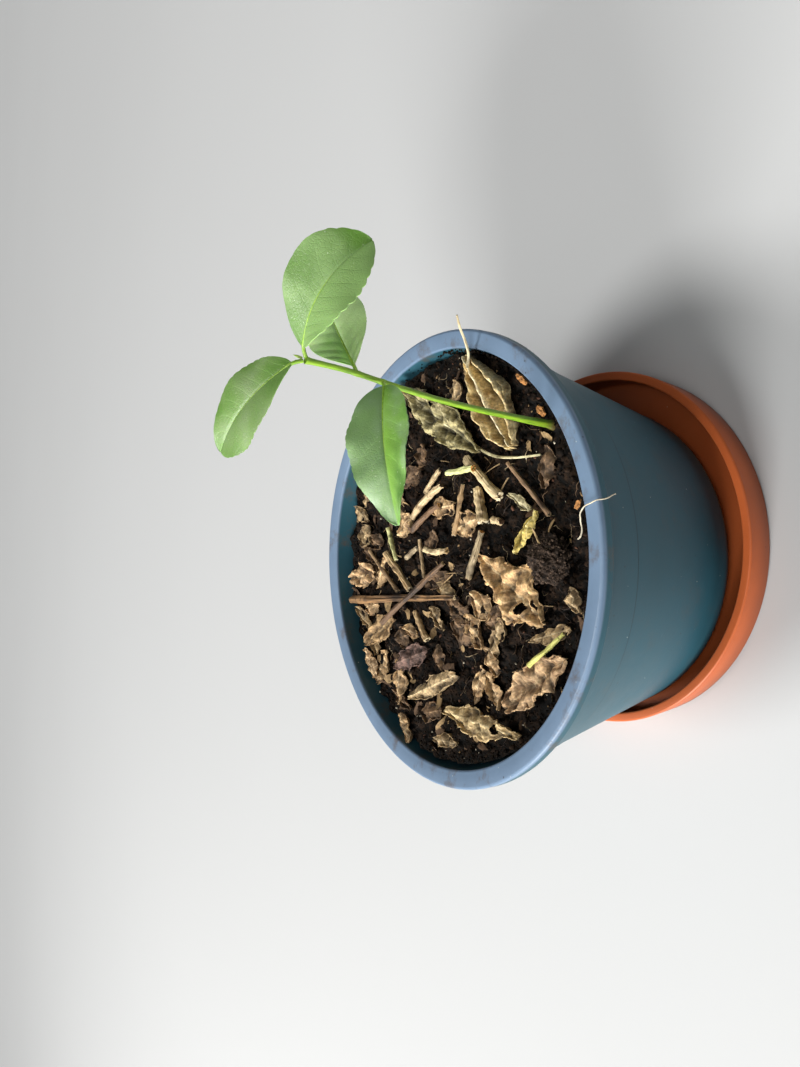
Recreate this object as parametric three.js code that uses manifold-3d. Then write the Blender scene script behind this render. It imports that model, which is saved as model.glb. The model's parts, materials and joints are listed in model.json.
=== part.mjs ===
import * as THREE from 'three';
import { mergeVertices } from 'three/addons/utils/BufferGeometryUtils.js';
import Module from 'manifold-3d';

// A citrus seedling in a round plastic pot that stands in its saucer.
// Millimetres, +Z up. The origin is the centre of the saucer's flat underside.
// Everything in the pot is placed from the pot's own axis, which stands off the saucer's.

const wasm = await Module();
wasm.setup();

const CLEARANCE = 0.3;
const ROUND_SIDES = 64;

// Saucer
const SAUCER_HEIGHT = 15.4;
const SAUCER_RADIUS = 78.9;
const SAUCER_FOOT_RADIUS = 77.4;
const SAUCER_RIM = { width: 3.8, depth: 2.6, under: 1.6, round: 0.8 };
const SAUCER_WALL = 2.4;
const SAUCER_FLOOR = 2.5;
const SAUCER_ROUND = { foot: 1.4, floor: 1.7 };

// Pot: its axis, then its sizes
const POT_AT = [-4.8, 3.5];
const POT_HEIGHT = 102.7;
const POT_BASE = SAUCER_FLOOR + CLEARANCE;
const POT_RADIUS = 90;
const POT_FLOOR = 3.0;
const LIP_DEPTH = 5.2;
const RIM = { width: 7.2, fall: 0.8, inner: 0.8, outerRound: 1.3, innerRound: 1.0 };
const WALL_SPAN = { low: 15.4, lowRadius: 68.8, high: 88.3, highRadius: 84.6 };
const WALL_THICKNESS = 3.2;
const FOOT_ROUND = { height: 8.4, width: 7.6 };
const FLOOR_ROUND = 6.0;
const INNER_TOP = { z: POT_HEIGHT - RIM.fall - RIM.inner, radius: POT_RADIUS - RIM.width };
const INNER_FOOT_Z = POT_BASE + POT_FLOOR + FLOOR_ROUND;
const MOULD_STEP = { z: 77.8, depth: 0.35 };

// Soil: clumps and hollows about 17 mm apart that wander a little, and two banks against the wall,
// one on the side of the stem and one across from it
const SOIL_LEVEL = 94.0;
const CLUMP = { height: 1.5, length: [2.7, 2.9], phase: [0.6, -0.4], wander: 1.2, wanderLength: [9, 11] };
const BANKS = [
  { height: 4.0, azimuth: -20, from: 40, to: 80, power: 3 },
  { height: 4.5, azimuth: 183, from: 58, to: 80, power: 6 },
];
const SOIL_RINGS = 18;
const SOIL_FOOT = { inset: 5.5, height: 7.0 };
const SOIL_GAP = 1.5 * CLEARANCE;
const SETTLE = { from: -0.8, step: 0.05 };

// Stem: the centre line from the soil to the tip, with its radii
const STEM_FOOT = [44.6, -62.4, 96.0];
const STEM_LINE = [
  STEM_FOOT,
  [46.0, -61.6, 115.0],
  [48.6, -60.6, 141.0],
  [52.0, -60.0, 162.0],
  [54.2, -59.5, 174.0],
  [55.7, -58.9, 187.6],
];
const STEM_RADIUS = { foot: 1.45, low: 1.05, high: 0.86, tip: 0.95 };
const STEM_TAPER = { lowOver: 22, highFrom: 15, highOver: 60, tipFrom: 84, tipOver: 6 };
const ROOT_FLARE = { radius: 0.75, height: 3.5 };
const STEM_STEPS = 26;
const STEM_SIDES = 10;
// The ground round the stem is level to the first distance and joins the rest by the second.
const LEVEL_GROUND = { near: 10, far: 18 };

// Leaves: the base of the blade, then angles in degrees and lengths in millimetres.
// joint is the height on the stem where the stalk leaves it.
const BLADE_THICKNESS = 0.5;
const BLADE_STEPS = 20;
const BLADE_COLUMNS = 6;
const BLADE_TIP_HALF = 0.35;
const CRENATION = 0.025;
const LEAVES = [
  {
    name: 'leaf_lowest', joint: 162.6, base: [50.4, -61.9, 163.4],
    heading: 211, rise: 23, roll: -44, length: 45, width: 22.2,
    droop: 44, twist: 31, sweep: 0.035, foldLeft: 21, foldRight: 17.5,
    cup: 0.01, tipShape: 0.91, fullness: 0.68,
  },
  {
    name: 'leaf_second', joint: 171.2, base: [55.9, -59.1, 171.9],
    heading: 25.5, rise: 13, roll: 44.5, length: 29.8, width: 20.9,
    droop: 18, twist: -25, sweep: -0.04, foldLeft: 14, foldRight: 8,
    cup: 0.23, tipShape: 1.09, fullness: 0.83,
  },
  {
    name: 'leaf_tip_left', joint: 188.3, base: [54.4, -58.4, 191.5],
    heading: 115, rise: 28, roll: 15, length: 41.8, width: 24.4,
    droop: 35, twist: -24, sweep: 0.044, foldLeft: 9, foldRight: 14,
    cup: 0.19, tipShape: 1.08, fullness: 0.64,
  },
  {
    name: 'leaf_tip_right', joint: 187.2, base: [59.1, -59.4, 188.5],
    heading: -41, rise: 15.5, roll: 4, length: 36.5, width: 25.6,
    droop: 66, twist: 28, sweep: -0.022, foldLeft: 18, foldRight: 12,
    cup: 0.04, tipShape: 1.1, fullness: 0.64,
  },
];
// A stalk starts just off the stem, swells a little there, and runs on under the blade as its rib.
const STALK = { off: 0.7, joint: 0.62, blade: 0.5, end: 0.2, swellTo: 0.15, steps: 12, sides: 6 };
const RIB = { stops: [0.12, 0.3, 0.5, 0.7], depth: 0.25, startDepth: 0.1 };
const BUD = { foot: [56.3, -58.3, 188.3], tip: [57.0, -57.9, 190.9], radius: 0.42, steps: 4 };
const BUD_SWELL = { from: 0.25, over: 0.7, least: 0.2 };

// Dead leaves lying on the soil: centre, heading of the length, sizes, pleats and height.
// A stalk leaves the blade at a share of its length and follows a line of points.
const DRY_THICKNESS = 0.6;
const DRY_BLADE = { stepLength: 4, leastSteps: 5, columnsPerPleat: 4, ragged: 0.12, crumple: 0.15 };
const DRY_OUTLINE = { from: 0.04, over: 0.92, fullness: 0.7, least: 0.12, flat: 0.35 };
const DRY_STALK = { steps: 8, sides: 6, base: 0.65, end: 0.4 };
const DRY_LEAVES = [
  {
    name: 'dry_leaf_pleated', at: [57.5, -34.3], heading: 31, length: 43, width: 23,
    pleats: 3, height: 3.6, stalkFrom: 0.36,
    stalk: [[76.0, -26.4, 103.8], [80.2, -29.0, 107.6], [83.3, -31.2, 111.2], [86.5, -35.5, 116.0]],
  },
  {
    name: 'dry_leaf_grey', at: [56.0, 0.2], heading: 57, length: 58, width: 15.5,
    pleats: 2, height: 3.0, stalkFrom: -0.42,
    stalk: [[37.4, -32.5, 97.0], [35.6, -44.0, 96.9], [34.9, -57.4, 97.3]],
  },
  { name: 'dry_leaf_tan', at: [-11.5, -41.2], heading: 56, length: 42, width: 18, pleats: 2, height: 3.4 },
  {
    name: 'dry_leaf_brown', at: [-44.6, -52.0], heading: 124, length: 38, width: 12.5,
    pleats: 2, height: 3.2,
  },
  { name: 'dry_leaf_pale', at: [-62.6, -23.0], heading: 87, length: 47, width: 10, pleats: 1, height: 2.6 },
  { name: 'dry_leaf_split', at: [-53.0, 9.5], heading: 112, length: 35, width: 9, pleats: 1, height: 2.2 },
  { name: 'dry_leaf_dark', at: [-43.0, 26.5], heading: 108, length: 29, width: 9.5, pleats: 1, height: 2.2 },
  { name: 'dry_leaf_far', at: [-8.0, 67.0], heading: 100, length: 24, width: 13, pleats: 2, height: 2.0 },
  { name: 'dry_leaf_wall', at: [-48.2, 58.2], heading: 35, length: 15, width: 8, pleats: 1, height: 2.2 },
  { name: 'dry_leaf_low', at: [-33.0, 51.5], heading: 118, length: 28, width: 12, pleats: 2, height: 1.8 },
  { name: 'dry_leaf_edge', at: [57.5, 31.0], heading: 165, length: 33, width: 6, pleats: 1, height: 3.0 },
  { name: 'dry_curl_small', at: [19.3, -46.3], heading: 60, length: 13, width: 4.5, pleats: 1, height: 2.0 },
  { name: 'dry_curl_long', at: [8.4, -48.8], heading: 141, length: 19, width: 5.5, pleats: 1, height: 2.8 },
];

// Cut stems on the soil: the axis from one end to the other, the radius at each end,
// how far the second end is raised and how far the middle bows aside.
const CUT_STEM_SIDES = 8;
const CUT_STEM_STEPS = 4;
const CUT_STEM_SWELL = 0.06;
const CUT_STEMS = [
  { name: 'cut_stem_thick', from: [38.0, -15.3], to: [21.9, -35.2], radius: [1.7, 1.85] },
  { name: 'cut_stem_pale', from: [34.3, -0.5], to: [33.3, -25.4], radius: [1.1, 1.25], raise: 5.8 },
  { name: 'cut_stem_short', from: [36.0, 3.4], to: [27.4, 13.6], radius: [1.1, 1.3] },
  { name: 'cut_stem_bent', from: [29.5, 1.0], to: [17.6, 22.5], radius: [1.3, 1.6], bow: 1.2 },
  { name: 'cut_stem_dark', from: [21.5, 4.0], to: [11.6, 23.4], radius: [1.0, 1.3], bow: 0.8 },
  { name: 'cut_stem_stout', from: [26.0, -22.2], to: [13.6, -25.1], radius: [1.8, 1.95] },
  { name: 'cut_stem_stub', from: [13.8, -29.6], to: [13.0, -35.0], radius: [1.3, 1.4] },
  { name: 'cut_stem_jointed', from: [28.6, -11.8], to: [8.9, -5.4], radius: [0.8, 1.1] },
  { name: 'cut_stem_green', from: [13.7, 42.8], to: [-0.8, 36.4], radius: [1.2, 0.9] },
  { name: 'cut_stem_far', from: [4.1, 60.7], to: [-14.6, 36.4], radius: [0.8, 1.0] },
  { name: 'cut_stem_far_thick', from: [2.4, 45.6], to: [-13.4, 26.6], radius: [1.6, 1.3] },
  { name: 'cut_stem_longest', from: [-19.8, 76.5], to: [-15.8, -6.9], radius: [1.9, 1.0] },
  { name: 'cut_stem_crossing', from: [-2.3, 3.0], to: [-28.4, 39.4], radius: [1.0, 1.25], raise: 7.4 },
  { name: 'cut_stem_thin', from: [7.6, 18.8], to: [-8.4, 15.7], radius: [0.8, 0.7] },
  { name: 'cut_stem_arched', from: [3.7, 14.8], to: [2.6, -1.2], radius: [1.2, 1.3], bow: 0.8 },
  { name: 'cut_stem_grey', from: [0.2, 30.2], to: [4.2, 22.2], radius: [1.1, 1.0] },
  { name: 'cut_stem_orange_end', from: [9.4, -23.4], to: [-8.1, -14.8], radius: [1.2, 1.5] },
  { name: 'cut_stem_slender', from: [34.0, -39.5], to: [14.2, -60.3], radius: [0.7, 0.9] },
  { name: 'cut_stem_split_end', from: [-23.2, 23.3], to: [-34.5, 14.4], radius: [1.1, 1.5] },
  { name: 'cut_stem_yellow', from: [-26.4, -65.0], to: [-38.0, -52.5], radius: [0.7, 0.9], raise: 4.6 },
];

// Bark chips and a clod of soil
const CHIP_SHAPE = { sides: 6, top: 0.42, foot: 0.5, tilt: 6 };
const CHIPS = [
  { name: 'bark_chip_long', at: [62.9, -49.2], heading: 225, size: [7.0, 2.6, 1.0] },
  { name: 'bark_chip_stem', at: [50.3, -57.2], heading: 220, size: [5.6, 3.0, 0.9] },
  { name: 'bark_chip_rim', at: [16.8, -72.6], heading: 140, size: [4.6, 2.0, 0.8] },
];
const CLOD = { at: [-1.0, -61.6], size: [8.6, 8.2, 6.2], roughness: 0.09, sunk: 0.35, sides: 14, rings: 9 };

const LOOKS = {
  saucer: { color: 0xb5603f, roughness: 0.5 },
  pot: { color: 0x55788a, roughness: 0.45 },
  soil: { color: 0x2a1f1a, roughness: 1.0 },
  stem: { color: 0x8cbf2a, roughness: 0.5 },
  leaf: { color: 0x6fa344, roughness: 0.4 },
  dryLeaf: { color: 0xb8a078, roughness: 0.9 },
  wood: { color: 0xa58a63, roughness: 0.85 },
};

const radians = (degrees) => degrees * Math.PI / 180;

const mix = (a, b, k) => a + (b - a) * k;

function smooth(k) {
  const c = Math.min(1, Math.max(0, k));
  return c * c * (3 - 2 * c);
}

// A repeatable value from -1 to 1 for a pair of numbers.
function scatter(a, b) {
  const v = Math.sin(a * 12.9898 + b * 78.233) * 43758.5453;
  return 2 * (v - Math.floor(v)) - 1;
}

// Points of a rounded corner in a turned outline, from one angle to another about its centre.
function corner(r, z, radius, from, to, steps) {
  const points = [];
  for (let i = 0; i <= steps; i += 1) {
    const angle = radians(mix(from, to, i / steps));
    points.push([r + radius * Math.cos(angle), z + radius * Math.sin(angle)]);
  }
  return points;
}

function wallRadius(z) {
  const k = (z - WALL_SPAN.low) / (WALL_SPAN.high - WALL_SPAN.low);
  return mix(WALL_SPAN.lowRadius, WALL_SPAN.highRadius, k);
}

function innerRadius(z) {
  const k = (z - INNER_FOOT_Z) / (INNER_TOP.z - INNER_FOOT_Z);
  return mix(wallRadius(INNER_FOOT_Z) - WALL_THICKNESS, INNER_TOP.radius, k);
}

// The soil without its clumps
function bedTop(x, y) {
  let height = SOIL_LEVEL;
  for (const bank of BANKS) {
    const side = Math.max(0, Math.cos(Math.atan2(y, x) - radians(bank.azimuth)));
    const out = (Math.hypot(x, y) - bank.from) / (bank.to - bank.from);
    height += bank.height * smooth(out) * side ** bank.power;
  }
  return height;
}

function soilTop(x, y) {
  const { height, length, phase, wander, wanderLength } = CLUMP;
  const along = Math.sin(x / length[0] + phase[0] + wander * Math.sin(y / wanderLength[0]));
  const across = Math.cos(y / length[1] + phase[1] + wander * Math.sin(x / wanderLength[1]));
  const loose = bedTop(x, y) + height * along * across;
  const away = Math.hypot(x - STEM_FOOT[0], y - STEM_FOOT[1]);
  const level = smooth((LEVEL_GROUND.far - away) / (LEVEL_GROUND.far - LEVEL_GROUND.near));
  return mix(loose, STEM_FOOT[2] - CLEARANCE, level);
}

// Merges shared corners, drops faces of no area and turns the faces outwards.
function weld(geometry) {
  const plain = geometry.clone();
  plain.deleteAttribute('normal');
  plain.deleteAttribute('uv');
  const merged = mergeVertices(plain, 1e-4);
  const position = merged.getAttribute('position');
  const corner = (i) => new THREE.Vector3().fromBufferAttribute(position, i);
  const index = [];
  let volume = 0;
  for (let i = 0; i < merged.index.count; i += 3) {
    const [a, b, c] = [0, 1, 2].map((k) => merged.index.getX(i + k));
    if (a === b || b === c || c === a) continue;
    index.push(a, b, c);
    volume += corner(a).dot(corner(b).cross(corner(c)));
  }
  if (volume < 0) index.reverse();
  const solid = new THREE.BufferGeometry();
  solid.setAttribute('position', position);
  solid.setIndex(index);
  return solid;
}

function toManifold(geometry) {
  const vertProperties = new Float32Array(geometry.getAttribute('position').array);
  const triVerts = new Uint32Array(geometry.index.array);
  return new wasm.Manifold(new wasm.Mesh({ numProp: 3, vertProperties, triVerts }));
}

function join(first, second) {
  const mesh = toManifold(first).add(toManifold(second)).getMesh();
  const solid = new THREE.BufferGeometry();
  solid.setAttribute('position', new THREE.BufferAttribute(new Float32Array(mesh.vertProperties), 3));
  solid.setIndex(Array.from(mesh.triVerts));
  return weld(solid);
}

function fromPoints(points, index) {
  const geometry = new THREE.BufferGeometry();
  geometry.setFromPoints(points);
  geometry.setIndex(index);
  return weld(geometry);
}

// A solid through rings of points, closed by a fan at each end.
function loft(rings) {
  const sides = rings[0].length;
  const points = rings.flat();
  const index = [];
  for (let i = 0; i + 1 < rings.length; i += 1) {
    for (let j = 0; j < sides; j += 1) {
      const a = i * sides + j;
      const b = i * sides + (j + 1) % sides;
      index.push(a, b, b + sides, a, b + sides, a + sides);
    }
  }
  const last = (rings.length - 1) * sides;
  for (let j = 1; j + 1 < sides; j += 1) {
    index.push(0, j + 1, j, last, last + j, last + j + 1);
  }
  return fromPoints(points, index);
}

// A round rod along a curve, with a radius that changes along it.
function rod(curve, steps, sides, radiusAt) {
  const frames = curve.computeFrenetFrames(steps, false);
  const rings = [];
  for (let i = 0; i <= steps; i += 1) {
    const centre = curve.getPointAt(i / steps);
    const radius = radiusAt(i / steps);
    const ring = [];
    for (let j = 0; j < sides; j += 1) {
      const angle = 2 * Math.PI * j / sides;
      const arm = frames.normals[i].clone().multiplyScalar(Math.cos(angle));
      arm.addScaledVector(frames.binormals[i], Math.sin(angle));
      ring.push(centre.clone().addScaledVector(arm, radius));
    }
    rings.push(ring);
  }
  return loft(rings);
}

const smoothCurve = (points) => new THREE.CatmullRomCurve3(points.map((p) => new THREE.Vector3(...p)));

function turned(outline) {
  const profile = outline.map(([r, z]) => new THREE.Vector2(r, z));
  return weld(new THREE.LatheGeometry(profile, ROUND_SIDES).rotateX(Math.PI / 2));
}

// A thin sheet: a grid of upper and lower points, joined round its edge.
function sheet(steps, columns, pointAt) {
  const width = columns + 1;
  const count = (steps + 1) * width;
  const upper = [];
  const lower = [];
  for (let i = 0; i <= steps; i += 1) {
    for (let j = 0; j <= columns; j += 1) {
      const [top, bottom] = pointAt(i, j);
      upper.push(top);
      lower.push(bottom);
    }
  }
  const index = [];
  const quad = (a, b, c, d) => index.push(a, b, c, a, c, d);
  for (let i = 0; i < steps; i += 1) {
    for (let j = 0; j < columns; j += 1) {
      const a = i * width + j;
      quad(a, a + 1, a + width + 1, a + width);
      quad(a + count, a + width + count, a + width + 1 + count, a + 1 + count);
    }
  }
  for (let i = 0; i < steps; i += 1) {
    const a = i * width;
    const b = a + columns;
    quad(a, a + width, a + width + count, a + count);
    quad(b, b + count, b + width + count, b + width);
  }
  for (let j = 0; j < columns; j += 1) {
    const b = steps * width + j;
    quad(j, j + count, j + 1 + count, j + 1);
    quad(b, b + 1, b + 1 + count, b + count);
  }
  return fromPoints([...upper, ...lower], index);
}

// Presses a loose piece a little into the soil, then lifts it until all of it is just clear.
function settle(geometry) {
  const position = geometry.getAttribute('position');
  let lowest = Infinity;
  for (let i = 0; i < position.count; i += 1) {
    lowest = Math.min(lowest, position.getZ(i) - soilTop(position.getX(i), position.getY(i)));
  }
  geometry.translate(0, 0, SETTLE.from - lowest);
  while (toManifold(geometry).minGap(soilSolid, CLEARANCE) < CLEARANCE) {
    geometry.translate(0, 0, SETTLE.step);
  }
  return geometry;
}

function nearestCorner(geometry, x, y) {
  const position = geometry.getAttribute('position');
  const corners = [];
  for (let i = 0; i < position.count; i += 1) {
    corners.push([position.getX(i), position.getY(i), position.getZ(i)]);
  }
  const away = (corner) => Math.hypot(corner[0] - x, corner[1] - y);
  return corners.reduce((best, corner) => (away(corner) < away(best) ? corner : best));
}

function makeSaucer() {
  const rimInner = SAUCER_RADIUS - SAUCER_RIM.width;
  const rimUnder = SAUCER_HEIGHT - SAUCER_RIM.depth;
  const footInner = SAUCER_FOOT_RADIUS - SAUCER_WALL;
  const { foot, floor } = SAUCER_ROUND;
  const { round } = SAUCER_RIM;
  return turned([
    [0, 0],
    ...corner(SAUCER_FOOT_RADIUS - foot, foot, foot, -90, 0, 3),
    ...corner(SAUCER_RADIUS - round, SAUCER_HEIGHT - round, round, 0, 90, 3),
    ...corner(rimInner + round, SAUCER_HEIGHT - round, round, 90, 180, 2),
    [rimInner, rimUnder],
    [SAUCER_RADIUS - SAUCER_WALL, rimUnder - SAUCER_RIM.under],
    ...corner(footInner - floor, SAUCER_FLOOR + floor, floor, 0, -90, 3),
    [0, SAUCER_FLOOR],
  ]);
}

function makePot() {
  const lipFoot = POT_HEIGHT - LIP_DEPTH;
  const floorTop = POT_BASE + POT_FLOOR;
  const footTop = POT_BASE + FOOT_ROUND.height;
  const footEdge = [0, 30, 60, 90].map((degrees) => {
    const inset = FOOT_ROUND.width * (1 - Math.sin(radians(degrees)));
    return [wallRadius(footTop) - inset, footTop - FOOT_ROUND.height * Math.cos(radians(degrees))];
  });
  const underStep = MOULD_STEP.z - MOULD_STEP.depth;
  const { outerRound, innerRound } = RIM;
  return turned([
    [0, POT_BASE],
    ...footEdge,
    [wallRadius(underStep) - MOULD_STEP.depth, underStep],
    [wallRadius(MOULD_STEP.z), MOULD_STEP.z],
    [wallRadius(lipFoot), lipFoot],
    ...corner(POT_RADIUS - innerRound, lipFoot + innerRound, innerRound, -90, 0, 2),
    ...corner(POT_RADIUS - outerRound, POT_HEIGHT - outerRound, outerRound, 0, 90, 3),
    [INNER_TOP.radius + innerRound, POT_HEIGHT - RIM.fall],
    [INNER_TOP.radius, INNER_TOP.z],
    ...corner(innerRadius(INNER_FOOT_Z) - FLOOR_ROUND, INNER_FOOT_Z, FLOOR_ROUND, 0, -90, 3),
    [0, floorTop],
  ]);
}

// The soil's top is a disc of rings whose points grow by six from ring to ring, so its faces stay even.
function makeSoil() {
  const floorZ = POT_BASE + POT_FLOOR + CLEARANCE;
  const sideFoot = floorZ + SOIL_FOOT.height;
  const inner = innerRadius(SOIL_LEVEL) - SOIL_GAP;
  const points = [new THREE.Vector3(0, 0, soilTop(0, 0))];
  const addRing = (count, radiusAt, zAt) => {
    for (let j = 0; j < count; j += 1) {
      const angle = 2 * Math.PI * j / count;
      const radius = radiusAt(angle);
      const x = radius * Math.cos(angle);
      const y = radius * Math.sin(angle);
      points.push(new THREE.Vector3(x, y, zAt(x, y)));
    }
  };
  const edge = (angle) => {
    const z = soilTop(inner * Math.cos(angle), inner * Math.sin(angle));
    return innerRadius(z) - SOIL_GAP;
  };
  const index = [];
  for (let i = 1; i <= SOIL_RINGS; i += 1) {
    const start = points.length;
    addRing(6 * i, (angle) => edge(angle) * i / SOIL_RINGS, soilTop);
    const within = (j) => (i === 1 ? 0 : start - 6 * (i - 1) + j % (6 * (i - 1)));
    for (let j = 0; j < 6 * i; j += 1) {
      const [sector, step] = [Math.floor(j / i), j % i];
      const near = within(sector * (i - 1) + step);
      const next = start + (j + 1) % (6 * i);
      index.push(start + j, next, near);
      if (step < i - 1) index.push(near, next, within(sector * (i - 1) + step + 1));
    }
  }
  const sides = 6 * SOIL_RINGS;
  const rim = points.length - sides;
  addRing(sides, () => innerRadius(sideFoot) - SOIL_GAP, () => sideFoot);
  addRing(sides, () => innerRadius(sideFoot) - SOIL_FOOT.inset - SOIL_GAP, () => floorZ);
  for (const start of [rim, rim + sides]) {
    for (let j = 0; j < sides; j += 1) {
      const [a, b] = [start + j, start + (j + 1) % sides];
      index.push(a, a + sides, b + sides, a, b + sides, b);
    }
  }
  for (let j = 1; j + 1 < sides; j += 1) {
    index.push(rim + 2 * sides, rim + 2 * sides + j + 1, rim + 2 * sides + j);
  }
  return fromPoints(points, index);
}

function stemRadius(height) {
  const low = smooth(height / STEM_TAPER.lowOver);
  const high = smooth((height - STEM_TAPER.highFrom) / STEM_TAPER.highOver);
  const tip = smooth((height - STEM_TAPER.tipFrom) / STEM_TAPER.tipOver);
  const lower = mix(STEM_RADIUS.foot, STEM_RADIUS.low, low);
  const upper = mix(STEM_RADIUS.high, STEM_RADIUS.tip, tip);
  return mix(lower, upper, high) + ROOT_FLARE.radius * (1 - smooth(height / ROOT_FLARE.height));
}

function makeStem() {
  const curve = smoothCurve(STEM_LINE);
  const rise = STEM_LINE.at(-1)[2] - STEM_FOOT[2];
  const body = rod(curve, STEM_STEPS, STEM_SIDES, (s) => stemRadius(rise * s));
  // The cut at the soil is level: the first ring is laid flat.
  const level = STEM_FOOT[2] + 0.15 * rise / STEM_STEPS;
  const position = body.getAttribute('position');
  for (let i = 0; i < position.count; i += 1) {
    if (position.getZ(i) < level) position.setZ(i, STEM_FOOT[2]);
  }
  return weld(body);
}

function stemPoint(z) {
  const curve = smoothCurve(STEM_LINE);
  let low = 0;
  let high = 1;
  for (let i = 0; i < 30; i += 1) {
    const middle = (low + high) / 2;
    if (curve.getPointAt(middle).z < z) low = middle;
    else high = middle;
  }
  return curve.getPointAt(low);
}

// The blade's own frame: forward along the midrib, side to its left and normal out of its upper face.
function bladeFrame(leaf) {
  const heading = radians(leaf.heading);
  const rise = radians(leaf.rise);
  const roll = radians(leaf.roll);
  const forward = new THREE.Vector3(
    Math.cos(rise) * Math.cos(heading), Math.cos(rise) * Math.sin(heading), Math.sin(rise));
  const left = new THREE.Vector3(-Math.sin(heading), Math.cos(heading), 0);
  const up = new THREE.Vector3().crossVectors(forward, left);
  const side = left.clone().multiplyScalar(Math.cos(roll)).addScaledVector(up, Math.sin(roll));
  const normal = up.clone().multiplyScalar(Math.cos(roll)).addScaledVector(left, -Math.sin(roll));
  return { forward, side, normal };
}

function ribAt(leaf, frame, s) {
  const bend = radians(leaf.droop);
  const reach = leaf.length / bend;
  const point = new THREE.Vector3(...leaf.base);
  point.addScaledVector(frame.forward, reach * Math.sin(bend * s));
  point.addScaledVector(frame.normal, -reach * (1 - Math.cos(bend * s)));
  point.addScaledVector(frame.side, leaf.sweep * leaf.length * s * s);
  const lifted = frame.forward.clone().multiplyScalar(Math.sin(bend * s));
  lifted.addScaledVector(frame.normal, Math.cos(bend * s));
  const twist = radians(leaf.twist) * s;
  const side = frame.side.clone().multiplyScalar(Math.cos(twist)).addScaledVector(lifted, Math.sin(twist));
  const normal = lifted.clone().multiplyScalar(Math.cos(twist)).addScaledVector(frame.side, -Math.sin(twist));
  return { point, side, normal };
}

function halfWidth(leaf, s) {
  const full = leaf.width / 2 * Math.sin(Math.PI * s ** leaf.tipShape) ** leaf.fullness;
  return Math.max(BLADE_TIP_HALF, full || 0);
}

function makeLeaf(leaf) {
  const frame = bladeFrame(leaf);
  const blade = sheet(BLADE_STEPS, BLADE_COLUMNS, (i, j) => {
    const s = i / BLADE_STEPS;
    const t = 2 * j / BLADE_COLUMNS - 1;
    const rib = ribAt(leaf, frame, s);
    const tooth = 1 + (i % 2 === 0 ? CRENATION : -CRENATION) * Math.abs(t);
    const reach = halfWidth(leaf, s) * Math.abs(t) * tooth;
    const fold = radians(t > 0 ? leaf.foldLeft : leaf.foldRight);
    const lift = reach * Math.sin(fold) - leaf.cup * reach * reach / (leaf.width / 2);
    const middle = rib.point.clone().addScaledVector(rib.side, Math.sign(t) * reach * Math.cos(fold));
    middle.addScaledVector(rib.normal, lift);
    const half = BLADE_THICKNESS / 2;
    return [
      middle.clone().addScaledVector(rib.normal, half),
      middle.clone().addScaledVector(rib.normal, -half),
    ];
  });
  const joint = stemPoint(leaf.joint);
  const base = new THREE.Vector3(...leaf.base);
  const toBase = base.clone().sub(joint).normalize();
  const start = joint.addScaledVector(toBase, stemRadius(leaf.joint - STEM_FOOT[2]) + STALK.off);
  const line = [start, base.addScaledVector(frame.normal, -RIB.startDepth)];
  for (const s of RIB.stops) {
    const rib = ribAt(leaf, frame, s);
    line.push(rib.point.addScaledVector(rib.normal, -RIB.depth));
  }
  const curve = new THREE.CatmullRomCurve3(line);
  const stalk = rod(curve, STALK.steps, STALK.sides, (s) => {
    if (s < STALK.swellTo) return mix(STALK.joint, STALK.blade, s / STALK.swellTo);
    return mix(STALK.blade, STALK.end, (s - STALK.swellTo) / (1 - STALK.swellTo));
  });
  return join(blade, stalk);
}

function makeBud() {
  const curve = smoothCurve([BUD.foot, BUD.tip]);
  return rod(curve, BUD.steps, STALK.sides, (s) => {
    const swell = Math.sin(Math.PI * (BUD_SWELL.from + BUD_SWELL.over * s));
    return BUD.radius * Math.max(BUD_SWELL.least, swell);
  });
}

function makeDryLeaf(leaf, seed) {
  const heading = radians(leaf.heading);
  const along = [Math.cos(heading), Math.sin(heading)];
  const steps = Math.max(DRY_BLADE.leastSteps, Math.round(leaf.length / DRY_BLADE.stepLength));
  const columns = DRY_BLADE.columnsPerPleat * leaf.pleats;
  const body = sheet(steps, columns, (i, j) => {
    const s = i / steps;
    const t = 2 * j / columns - 1;
    const taper = Math.sin(Math.PI * (DRY_OUTLINE.from + DRY_OUTLINE.over * s)) ** DRY_OUTLINE.fullness;
    const outline = Math.max(DRY_OUTLINE.least, taper);
    const half = leaf.width / 2 * outline * (1 + DRY_BLADE.ragged * scatter(i, seed) * Math.abs(t));
    const u = leaf.length * (s - 0.5);
    const v = half * t;
    const x = leaf.at[0] + along[0] * u - along[1] * v;
    const y = leaf.at[1] + along[1] * u + along[0] * v;
    const wave = leaf.pleats * (t + 1) + scatter(seed, i) / 2;
    const pleat = (1 - Math.cos(Math.PI * wave)) / 2;
    const crumple = DRY_BLADE.crumple * (1 + scatter(i + seed, j));
    const lift = leaf.height * (pleat * mix(DRY_OUTLINE.flat, 1, outline) + crumple);
    const z = bedTop(x, y) + lift;
    return [new THREE.Vector3(x, y, z + DRY_THICKNESS), new THREE.Vector3(x, y, z)];
  });
  const settled = settle(body);
  if (!leaf.stalk) return settled;
  const reach = leaf.length * leaf.stalkFrom;
  const root = nearestCorner(settled, leaf.at[0] + along[0] * reach, leaf.at[1] + along[1] * reach);
  const curve = smoothCurve([root, ...leaf.stalk]);
  const stalk = rod(curve, DRY_STALK.steps, DRY_STALK.sides, (s) => mix(DRY_STALK.base, DRY_STALK.end, s));
  return join(settled, stalk);
}

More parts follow.
